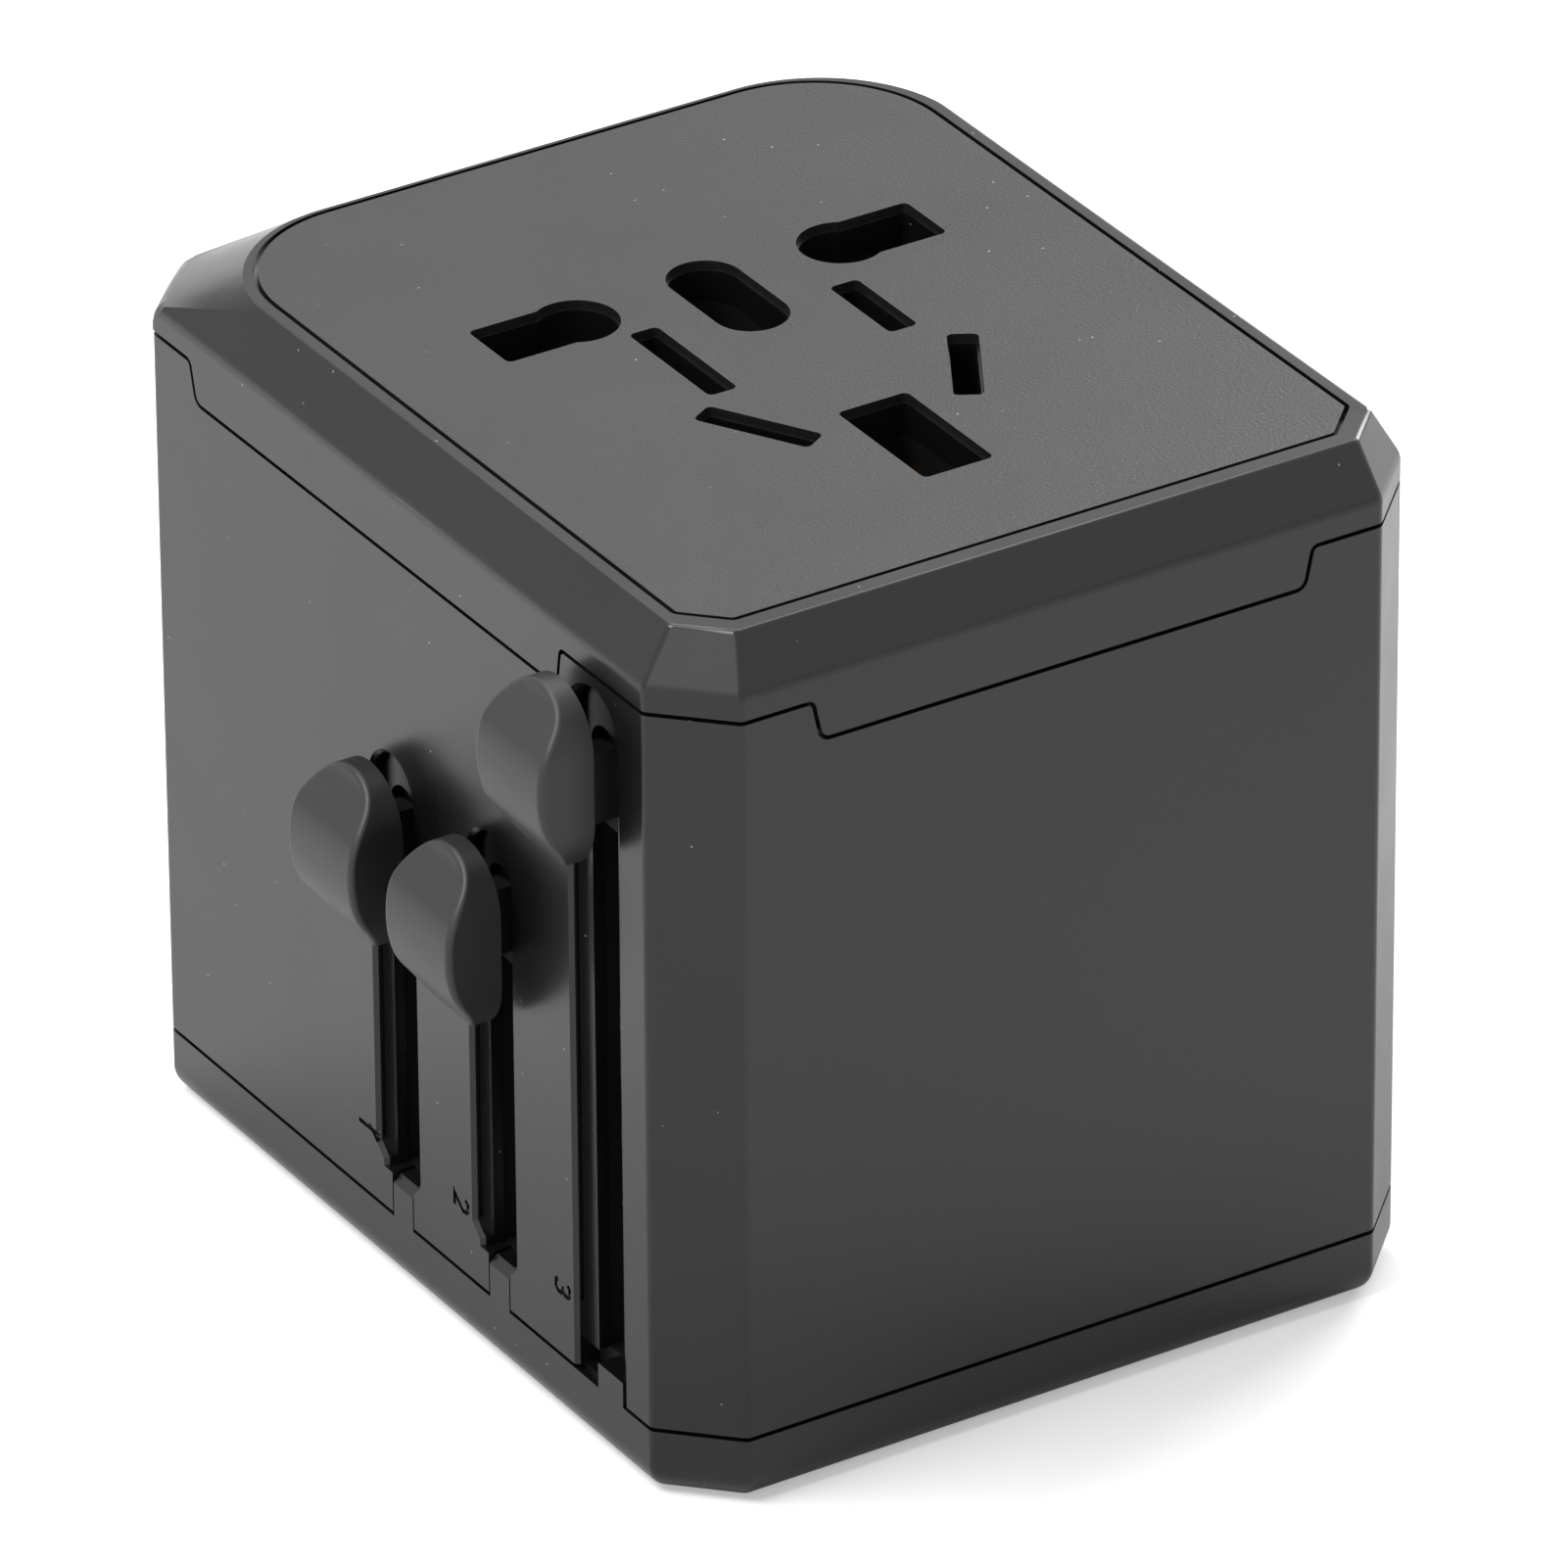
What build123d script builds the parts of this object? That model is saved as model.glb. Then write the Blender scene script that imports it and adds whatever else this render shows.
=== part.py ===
from build123d import *
import math
import os

# Universal travel adapter with a top socket and three plugs that slide out below
# X runs across the socket, the slider face looks to -X, Z is up, the origin is under the middle

os.makedirs("parts", exist_ok=True)

# Walls, rounds and gaps of the housing
corner_cut = 4.03
edge_round = 0.6
body_wall = 1.5
base_height = 4.5
base_floor = 2.0
base_front_wall = 2.45
base_round = 1.8
seam_gap = 0.27
seam_depth = 0.6
fit_gap = 0.05
slide_gap = 0.3
cut_margin = 1.0

# Cap, from the rim down to the stepped parting line
slope_drop = 3.33
slope_to_parting = 1.54
notch_drop = 2.55
notch_side_inset = 9.37
notch_step = 0.55
notch_round = 0.6
side_notch_slot_gap = 1.25
side_notch_front_step = 0.4
side_notch_rear_inset = 9.0
side_notch_rear_step = 0.65
crease_round = 1.5
rim_side_inset = 1.97
rim_front_inset = 1.52
rim_rear_inset = 4.4
rim_corner = 2.75
rim_corner_round = 0.6
rim_round = 9.3
rim_edge = 0.3
spigot_thickness = 1.05
spigot_depth = 4.3
cap_floor = 2.0
boss_x = 19.0
boss_y = -3.0
boss_radius = 2.3
boss_length = 5.6

# Face plate, set in from the rim
plate_side_inset = 0.95
plate_front_inset = 1.33
plate_rear_inset = 0.4
plate_corner = 2.4
plate_corner_round = 0.5
plate_round = 8.5
plate_gap = 0.3
plate_thickness = 0.6

# Openings of the universal socket
power_row_y = 6.76
power_outer_x = 14.92
power_half_slot = 2.25
power_round_x = 9.0
power_round_radius = 2.6
hole_round = 0.4
oblong_y = 4.69
oblong_length = 9.57
oblong_width = 4.6
blade_slot_x = 6.4
blade_slot_width = 1.92
left_slot_y = -0.72
left_slot_length = 8.85
right_slot_y = -0.9
right_slot_length = 6.6
slant_slot_x = 7.0
slant_slot_y = -9.8
slant_slot_length = 7.45
slant_slot_width = 1.85
slant_angle = 30
earth_hole_y = -15.44
earth_hole_width = 4.7
earth_hole_length = 9.27
hole_lip = 0.12

# Slots of the slider face, above the base
narrow_slot_width = 4.5
wide_slot_width = 5.2
uk_row_pitch = 10.8
row_gap = 1.0
eu_slot_drop = 1.21
slot_taper_top_rise = 4.0
slot_corner_rise = 3.3
slot_taper_low_rise = 2.63
slot_bevel = 0.25
ledge_depth = 0.8
narrow_ledge_drop = 2.25
wide_ledge_drop = 2.6
groove_start = 0.35
groove_width = 0.22
groove_depth = 0.3
tongue_width = 2.15
tongue_shift = 0.47
tongue_gap = 0.12
tongue_bevel = 0.5
tongue_rise = 2.5
eu_tongue_rise = 1.4
eu_tongue_width = 2.7
eu_tongue_shift = 1.1
mark_rise = 5.0
mark_depth = 0.2
mark_height = 1.5
mark_width = 1.05
mark_stroke = 0.3
mark_space = 2.2

# Thumb knobs
knob_half_width = 3.53
knob_height = 11.6
knob_stand_off = 1.33
knob_front_depth = 3.62
knob_edge = 0.35
knob_rise = 0.1
eu_knob_rise = 0.8
eu_knob_shift = 1.15
neck_half_width = 0.75
neck_shift = 0.35
neck_inset = 1.0
peg_radius = 0.8
peg_length = 1.4

# Slider stems, shoes and their guide plate
stem_half_width = 1.1
stem_recess = 0.6
stem_length = 6.3
eu_stem_length = 6.5
guide_thickness = 1.0
guide_rear_reach = 4.2
guide_front_reach = 3.6
guide_slot_extra = 0.15
shoe_thickness = 1.4
shoe_side = 1.35
shoe_reach = 1.0
eu_shoe_reach = 0.5
eu_shoe_front = 2.45

# British plug
pin_reach = 17.7
pin_recess = 1.3
bar_gap = 0.4
uk_bar_height = 4.4
uk_bar_end_wall = 1.725
uk_bar_side_wall = 0.715
uk_arm_half_width = 1.7
uk_spine_side_wall = 1.015
uk_spine_end_wall = 0.44
uk_pin_x = 11.1
uk_pin_width = 6.35
uk_pin_thickness = 3.97
uk_pin_seat = 3.2
uk_pin_edge = 0.6
uk_earth_pitch = 22.2
uk_earth_length = 7.92
uk_earth_tip = 0.5
uk_strap_half_width = 1.5
uk_strap_thickness = 0.6
uk_strap_gap = 1.7

# American and australian plug
us_bar_height = 5.0
us_bar_end_wall = 1.25
us_bar_side_wall = 0.45
us_arm_half_width = 1.9
us_blade_x = 6.35
us_blade_width = 6.3
us_blade_thickness = 1.52
us_tip_chamfer = 0.5
us_disc_radius = 3.45
us_disc_thickness = 0.7
us_shank_radius = 2.2
us_shank_length = 4.1
us_head_radius = 3.0
us_head_thickness = 0.9

# European plug
eu_tip_recess = 0.8
eu_block_gap = 0.5
eu_block_half_length = 17.2
eu_block_half_width = 6.7
eu_block_corner = 3.9
eu_arm_overlap = 2.0
eu_arm_depth = 2.6
eu_arm_half_width = 2.1
eu_side_room = 4.02
eu_notch_half_width = 3.0
eu_notch_depth = 5.2
eu_notch_drop = 23.38
eu_pin_x = 9.5
eu_pin_radius = 2.0
eu_pin_core = 1.3
eu_pin_length = 19.0
eu_sleeve_length = 10.0
eu_pin_seat = 6.0
well_gap = 0.35

# Case screws and posts
case_screw_side_inset = 5.17
case_screw_end_inset = 4.7
post_radius = 2.2
post_height = 13.0
post_rib = 1.2
screw_radius = 1.1
screw_head_radius = 2.05
screw_head_height = 1.5
screw_length = 11.0
screw_slot_width = 0.6
screw_slot_depth = 0.7
lip_thickness = 0.75
lip_height = 2.0

# Contacts in the carrier
carrier_height = 14.08
carrier_side_wall = 0.6
carrier_front_wall = 0.825
carrier_rear_wall = 1.425
carrier_lid = 2.1
ear_reach = 5.0
ear_half_width = 2.5
ear_thickness = 2.0
leaf_thickness = 0.5
contact_rise = 0.7
web_height = 4.3
power_leaf_gap = 2.02
power_leaf_inner_x = 6.9
blade_leaf_gap = 0.82
blade_leaf_front = 3.9
first_web_y = 2.7
slant_leaf_half = 3.2
second_web_y = 5.9
strip_gap = 0.38
strip_front = 6.6
cell_gap = 0.1
earth_leaf_gap = 2.05
earth_leaf_half = 3.7
earth_web_y = 10.6
earth_web_reach = 4.9
rail_gap = 2.2
rail_thickness = 0.6
rail_width = 3.8
rail_board_gap = 0.5
rail_tab_rise = 1.8
rail_tab_height = 3.0
rail_tab_margin = 0.6
rail_solder_length = 2.4
earth_strip_drop = 1.1
earth_strip_thickness = 0.6
earth_strip_x = 2.7
earth_drop_x = 3.6
earth_drop_width = 3.6
earth_drop_gap = 0.7
earth_board_gap = 0.4

# Supply board with two sockets on the rear face
board_gap = 2.0
board_headroom = 0.7
board_thickness = 1.2
board_side_gap = 3.47
board_rear_gap = 0.8
rib_front_inset = 2.05
rib_rear_inset = 3.8
rib_thickness = 1.5
rib_reach = 4.37
rib_low_rise = 2.5
port_gap = 0.65
port_width = 13.1
port_height = 5.6
port_sheet = 0.35
port_length = 12.3
port_rear_gap = 0.1
port_tongue_half = 5.4
port_tongue_thickness = 1.9
port_tongue_length = 9.0
port_window_gap = 0.25
port_round = 0.5
lamp_radius = 1.4
lamp_flange = 2.0
lamp_flange_thickness = 0.8
fuse_gap = 0.9
fuse_edge = 0.3
fuse_radius = 2.5
fuse_wall = 0.4
fuse_half_length = 8.0
fuse_cap_length = 4.2
fuse_cap_wall = 0.2
fuse_axis_rise = 3.5
clip_thickness = 0.4
clip_width = 3.0
clip_rise = 4.6
core_rail_gap = 0.6
core_edge = 0.8
core_port_gap = 0.6
core_width = 13.0
core_depth = 7.6
core_height = 9.2
core_leg = 2.4
winding_gap = 0.1
winding_depth_extra = 0.35
filter_x = 0.0
filter_front_inset = 10.4
filter_gap = 0.8
filter_radius = 2.3
filter_height = 9.0
filter_foot = 0.5
bridge_gap = 0.2
bridge_edge = 1.2
bridge_width = 4.4
bridge_depth = 4.0
bridge_height = 2.2

# Width of the body: the european block, its carrier and the slider face in a row
guide_room = shoe_thickness + slide_gap + guide_thickness + fit_gap + body_wall
half_x = eu_block_half_length + eu_side_room + guide_room
body_width = 2 * half_x
face_inner_x = body_wall - half_x
guide_front_x = face_inner_x + fit_gap
guide_back_x = guide_front_x + guide_thickness
shoe_front_x = guide_back_x + slide_gap
shoe_back_x = shoe_front_x + shoe_thickness
stem_front_x = ledge_depth + stem_recess - half_x
knob_back_x = -half_x - knob_stand_off

# Depth of the body: the three plugs, the rails and the supply board in a row
uk_bar_half_width = uk_pin_thickness / 2 + uk_bar_side_wall
us_bar_half_width = us_disc_radius + us_bar_side_wall
eu_room = eu_block_half_width + well_gap + base_front_wall
eu_row_pitch = eu_block_half_width + row_gap + us_bar_half_width
rail_room = uk_bar_half_width + earth_drop_gap + earth_drop_width + earth_board_gap
supply_room = core_edge + core_depth + core_port_gap + port_length + port_rear_gap + body_wall
body_depth = eu_room + eu_row_pitch + uk_row_pitch + rail_room + supply_room
half_y = body_depth / 2
eu_slot_y = eu_room - half_y
us_slot_y = eu_slot_y + eu_row_pitch
uk_slot_y = us_slot_y + uk_row_pitch
uk_earth_y = uk_slot_y + uk_earth_pitch
eu_knob_y = eu_slot_y + eu_knob_shift
port_rear = half_y - body_wall - port_rear_gap
port_front = port_rear - port_length
core_y = port_front - core_port_gap - core_depth / 2
board_front = core_y - core_depth / 2 - core_edge
board_rear = half_y - body_wall - board_rear_gap

# Height of the body: the stroke of the pins, the supply board and the socket on top of each other
short_travel = pin_reach + pin_recess
pin_tip = pin_recess
uk_bar_level = base_floor + short_travel + bar_gap
board_level = uk_bar_level + uk_bar_height + uk_strap_thickness + board_gap
board_top = board_level + board_thickness
carrier_low = board_top + core_height + board_headroom
floor_under = carrier_low + carrier_height
plate_under = floor_under + cap_floor
body_height = plate_under + plate_thickness
slope_height = body_height - slope_drop
parting_height = slope_height - slope_to_parting
notch_height = parting_height - notch_drop

# Cap and face plate
corner_share = 2 - math.sqrt(2)
notch_low_x = half_x - notch_side_inset
notch_high_x = notch_low_x + notch_step
side_notch_rear_low = half_y - side_notch_rear_inset
side_notch_rear_high = side_notch_rear_low + side_notch_rear_step
side_notch_front_low = -eu_slot_y - wide_slot_width / 2 - side_notch_slot_gap
side_notch_front_high = side_notch_front_low + side_notch_front_step
rim_half_width = half_x - rim_side_inset
rim_front = half_y - rim_front_inset
rim_rear = half_y - rim_rear_inset
plate_half_width = rim_half_width - plate_side_inset
plate_front = rim_front - plate_front_inset
plate_rear = rim_rear - plate_rear_inset
spigot_low = parting_height - spigot_depth
spigot_outer = body_wall + fit_gap
spigot_inner = spigot_outer + spigot_thickness

# Slots, stems and shoes of the sliders
slot_taper_top = base_height + slot_taper_top_rise
slot_corner_top = base_height + slot_corner_rise
slot_taper_low = base_height + slot_taper_low_rise
tongue_top = base_height + tongue_rise
eu_tongue_top = base_height + eu_tongue_rise
mark_level = base_height + mark_rise
inner_half_width = stem_half_width + slide_gap
stem_low = slot_taper_low + slide_gap + short_travel
stem_high = stem_low + stem_length
short_inner_top = stem_high + slide_gap
short_slot_top = short_inner_top + narrow_ledge_drop
long_slot_top = parting_height - eu_slot_drop
long_inner_top = long_slot_top - wide_ledge_drop
eu_stem_high = long_inner_top - slide_gap
eu_stem_low = eu_stem_high - eu_stem_length
knob_level = short_slot_top + knob_rise - knob_height
eu_knob_level = long_slot_top + eu_knob_rise - knob_height
guide_top = spigot_low - slide_gap
guide_rear = uk_slot_y + guide_rear_reach
guide_front = guide_front_reach - eu_slot_y
shoe_half_width = narrow_slot_width / 2 + shoe_side
shoe_low = stem_low - shoe_reach
shoe_high = stem_high + shoe_reach
eu_shoe_low = eu_stem_low - eu_shoe_reach
eu_shoe_high = eu_stem_high + eu_shoe_reach

# Plugs
uk_bar_half_length = uk_pin_x + uk_pin_width / 2 + uk_bar_end_wall
uk_spine_half_width = uk_pin_thickness / 2 + uk_spine_side_wall
uk_spine_rear = uk_earth_y + uk_earth_length / 2 + uk_spine_end_wall
uk_strap_front = uk_slot_y + uk_bar_half_width + uk_strap_gap
us_bar_level = base_floor + short_travel + bar_gap + us_disc_thickness + slide_gap
us_bar_half_length = us_blade_x + us_head_radius + us_bar_end_wall
blade_swing = math.hypot(us_blade_width / 2, us_blade_thickness / 2) + slide_gap
eu_block_level = eu_pin_length + eu_tip_recess
eu_block_top = carrier_low - eu_block_gap
eu_arm_low = eu_block_top - eu_arm_overlap
eu_notch_level = body_height - eu_notch_drop

# Contacts, rails and supply board
strip_x = power_outer_x + strip_gap
carrier_half_width = strip_x + leaf_thickness + carrier_side_wall
carrier_front = earth_hole_length / 2 - earth_hole_y + carrier_front_wall
carrier_rear = oblong_y + oblong_length / 2 + carrier_rear_wall
contact_low = carrier_low + contact_rise
contact_top = floor_under - carrier_lid
web_top = contact_low + web_height
rail_x = carrier_half_width + rail_gap
rail_front = board_front - rail_board_gap - rail_width
rail_tab_low = contact_low + rail_tab_rise
rail_tab_high = rail_tab_low + rail_tab_height
earth_strip_low = carrier_low - earth_strip_drop
earth_drop_rear = board_front - earth_board_gap
earth_drop_front = earth_drop_rear - earth_drop_width
board_half_width = half_x - body_wall - board_side_gap
rib_inner_x = half_x - body_wall - rib_reach
rib_low = base_height + rib_low_rise
rib_front_y = board_front + rib_front_inset
rib_rear_y = board_rear - rib_rear_inset
port_x = filter_radius + port_gap + port_width / 2
lamp_level = board_top + port_height / 2
core_x = rail_x - core_rail_gap - core_width / 2
bridge_x = core_x - core_width / 2 - bridge_gap - bridge_width / 2
bridge_y = board_front + bridge_edge + bridge_depth / 2
fuse_x = bridge_x - bridge_width / 2 - fuse_gap - fuse_half_length
fuse_y = board_front + fuse_edge + clip_thickness + fuse_radius
filter_front_y = board_front + filter_front_inset
filter_pitch = 2 * filter_radius + filter_gap
case_screw_x = half_x - case_screw_side_inset
case_screw_y = half_y - case_screw_end_inset
lip_half_length = case_screw_x - post_radius - slide_gap


def outline(inset):
    """Corner points of the body outline, moved inwards by the inset."""
    x = half_x - inset
    y = half_y - inset
    c = corner_cut - inset * corner_share
    front = [(c - x, -y), (x - c, -y), (x, c - y)]
    rear = [(x, y - c), (x - c, y), (c - x, y)]
    return front + rear + [(-x, y - c), (-x, c - y)]


def cap_outline():
    """Body outline with its front corners rounded and its rear corners sharp."""
    with BuildSketch() as sheet:
        Polygon(*outline(0), align=None)
        fillet(sheet.vertices().filter_by(lambda v: v.Y < 0), radius=edge_round)
    return sheet.sketch


def block(x_low, x_high, y_low, y_high, z_low, z_high, mode=Mode.ADD):
    """Straight block between two corners."""
    middle = ((x_low + x_high) / 2, (y_low + y_high) / 2, (z_low + z_high) / 2)
    with Locations(middle):
        Box(x_high - x_low, y_high - y_low, z_high - z_low, mode=mode)


def rod(x, y, z_low, z_high, radius, mode=Mode.ADD):
    """Upright round rod from one level to another."""
    with Locations((x, y, (z_low + z_high) / 2)):
        Cylinder(radius, z_high - z_low, mode=mode)


def deck(half_width, front, rear, corner, corner_round, rear_round):
    """Flat outline with two cut corners in front and two large rounds at the rear."""
    with BuildSketch() as sheet:
        with BuildLine():
            Polyline(
                (-half_width, rear - rear_round),
                (-half_width, corner - front),
                (corner - half_width, -front),
                (half_width - corner, -front),
                (half_width, corner - front),
                (half_width, rear - rear_round),
            )
            CenterArc((half_width - rear_round, rear - rear_round), rear_round, 0, 90)
            Line((half_width - rear_round, rear), (rear_round - half_width, rear))
            CenterArc((rear_round - half_width, rear - rear_round), rear_round, 90, 90)
        make_face()
        fillet(sheet.vertices().filter_by(lambda v: v.Y < 0), radius=corner_round)
    return sheet.sketch


def front_notch(grow):
    """Lowered part of the parting line on the plain faces, seen along the depth."""
    with BuildSketch() as shape:
        Polygon(
            (-notch_low_x, notch_height),
            (notch_low_x, notch_height),
            (notch_high_x, parting_height),
            (half_x, parting_height),
            (half_x, slope_height),
            (-half_x, slope_height),
            (-half_x, parting_height),
            (-notch_high_x, parting_height),
            align=None,
        )
        inner = shape.vertices().filter_by(lambda v: abs(v.X) < (notch_high_x + half_x) / 2)
        fillet(inner, radius=notch_round)
        offset(amount=grow)
    return shape.sketch


def side_notch(grow):
    """Lowered part of the parting line on the slider face, seen along the width."""
    with BuildSketch() as shape:
        Polygon(
            (-side_notch_front_low, notch_height),
            (side_notch_rear_low, notch_height),
            (side_notch_rear_high, parting_height),
            (half_y, parting_height),
            (half_y, slope_height),
            (-half_y, slope_height),
            (-half_y, parting_height),
            (-side_notch_front_high, parting_height),
            align=None,
        )
        inner = shape.vertices().filter_by(lambda v: abs(v.X) < (side_notch_rear_high + half_y) / 2)
        fillet(inner, radius=notch_round)
        offset(amount=grow)
    return shape.sketch


# Pattern of the universal socket
with BuildSketch() as socket_pattern:
    for side in (-1, 1):
        power_middle = (power_outer_x + power_round_x) / 2
        with Locations((side * power_middle, power_row_y)):
            Rectangle(power_outer_x - power_round_x, 2 * power_half_slot)
        with Locations((side * power_round_x, power_row_y)):
            Circle(power_round_radius)
    outer_corners = socket_pattern.vertices().filter_by(lambda v: abs(v.X) > power_outer_x - hole_round)
    fillet(outer_corners, radius=hole_round)
    with Locations((0, oblong_y)):
        SlotOverall(oblong_length, oblong_width, rotation=90)
    with Locations((-blade_slot_x, left_slot_y)):
        RectangleRounded(blade_slot_width, left_slot_length, hole_round)
    with Locations((blade_slot_x, right_slot_y)):
        RectangleRounded(blade_slot_width, right_slot_length, hole_round)
    for side in (-1, 1):
        with Locations((side * slant_slot_x, slant_slot_y)):
            RectangleRounded(slant_slot_width, slant_slot_length, hole_round, rotation=-side * slant_angle)
    with Locations((0, earth_hole_y)):
        RectangleRounded(earth_hole_width, earth_hole_length, hole_round)

# Area swept by a turning blade, for the left and the right opening
blade_openings = []
for side in (-1, 1):
    turned = 90 - side * slant_angle
    reach = 2 * blade_swing
    with BuildSketch() as sweep:
        with Locations((side * us_blade_x, us_slot_y)):
            Rectangle(us_blade_thickness + 2 * slide_gap, reach)
            Rectangle(us_blade_thickness + 2 * slide_gap, reach, rotation=-side * slant_angle)
            for half_turn in (0, 180):
                first = math.radians(90 + half_turn)
                second = math.radians(turned + half_turn)
                Polygon(
                    (0, 0),
                    (reach * math.cos(first), reach * math.sin(first)),
                    (reach * math.cos(second), reach * math.sin(second)),
                    align=None,
                )
            Circle(blade_swing, mode=Mode.INTERSECT)
    blade_openings.append(sweep.sketch)

# Outline of the european plug block
with BuildSketch() as plug_outline:
    block_x = eu_block_half_length
    block_y = eu_block_half_width
    with Locations((0, eu_slot_y)):
        Polygon(
            (eu_block_corner - block_x, -block_y),
            (block_x - eu_block_corner, -block_y),
            (block_x, eu_block_corner - block_y),
            (block_x, block_y - eu_block_corner),
            (block_x - eu_block_corner, block_y),
            (eu_block_corner - block_x, block_y),
            (-block_x, block_y - eu_block_corner),
            (-block_x, eu_block_corner - block_y),
            align=None,
        )

case_screw_places = [(x, y) for x in (-case_screw_x, case_screw_x) for y in (-case_screw_y, case_screw_y)]
slider_rows = [
    (uk_slot_y, narrow_slot_width, short_slot_top, short_inner_top, slot_taper_low),
    (us_slot_y, narrow_slot_width, short_slot_top, short_inner_top, slot_taper_low),
    (eu_slot_y, wide_slot_width, long_slot_top, long_inner_top, eu_tongue_top),
]

# Bottom tray with the plug openings and the tongues that close the slots
with BuildPart() as base:
    with BuildSketch():
        Polygon(*outline(0), align=None)
        fillet(vertices(), radius=edge_round)
    extrude(amount=base_height)
    fillet(base.edges().group_by(Axis.Z)[0], radius=base_round)
    with BuildSketch(Plane.XY.offset(base_floor)):
        Polygon(*outline(body_wall), align=None)
    extrude(amount=base_height, mode=Mode.SUBTRACT)
    with BuildSketch(Plane.XY.offset(base_height - seam_gap)):
        Polygon(*outline(-cut_margin), align=None)
        Polygon(*outline(seam_depth), align=None, mode=Mode.SUBTRACT)
    extrude(amount=seam_gap + cut_margin, mode=Mode.SUBTRACT)
    tongue_low = base_height - 2 * seam_gap
    for row_y in (uk_slot_y, us_slot_y):
        tongue_low_y = row_y - tongue_shift - tongue_width / 2
        block(-half_x, face_inner_x, tongue_low_y, tongue_low_y + tongue_width, tongue_low, tongue_top)
    ramps = base.edges().filter_by(lambda e: e.bounding_box().min.Z > tongue_top - fit_gap)
    chamfer(ramps.filter_by(lambda e: e.bounding_box().max.X < fit_gap - half_x), length=tongue_bevel)
    eu_tongue_low_y = eu_slot_y - eu_tongue_shift - eu_tongue_width / 2
    block(
        -half_x, face_inner_x, eu_tongue_low_y, eu_tongue_low_y + eu_tongue_width,
        tongue_low, eu_tongue_top,
    )
    lip_outer = body_wall + fit_gap
    lip_inner = lip_outer + lip_thickness
    lip_high = base_height + lip_height
    for side in (-1, 1):
        lip_edges = sorted((side * (half_y - lip_outer), side * (half_y - lip_inner)))
        block(-lip_half_length, lip_half_length, lip_edges[0], lip_edges[1], base_floor, lip_high)
    block(half_x - lip_inner, half_x - lip_outer, -lip_half_length, lip_half_length, base_floor, lip_high)
    for x, y in case_screw_places:
        rod(x, y, base_floor, base_height, post_radius)
    for x, y in case_screw_places:
        rod(x, y, 0, base_height, screw_radius + fit_gap, mode=Mode.SUBTRACT)
        rod(x, y, 0, screw_head_height + fit_gap, screw_head_radius + fit_gap, mode=Mode.SUBTRACT)
    hole_x = uk_pin_width / 2 + slide_gap
    hole_y = uk_pin_thickness / 2 + slide_gap
    for side in (-1, 1):
        x_edges = (side * uk_pin_x - hole_x, side * uk_pin_x + hole_x)
        y_edges = (uk_slot_y - hole_y, uk_slot_y + hole_y)
        block(x_edges[0], x_edges[1], y_edges[0], y_edges[1], 0, base_floor, Mode.SUBTRACT)
    earth_half = uk_earth_length / 2 + slide_gap
    block(-hole_y, hole_y, uk_earth_y - earth_half, uk_earth_y + earth_half, 0, base_floor, Mode.SUBTRACT)
    with BuildSketch():
        for opening in blade_openings:
            add(opening)
    extrude(amount=base_floor, mode=Mode.SUBTRACT)
    with BuildSketch():
        add(plug_outline.sketch)
        offset(amount=well_gap)
    extrude(amount=base_height, mode=Mode.SUBTRACT)
base.part.label = "base"
export_step(base.part, "parts/base.step")

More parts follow.
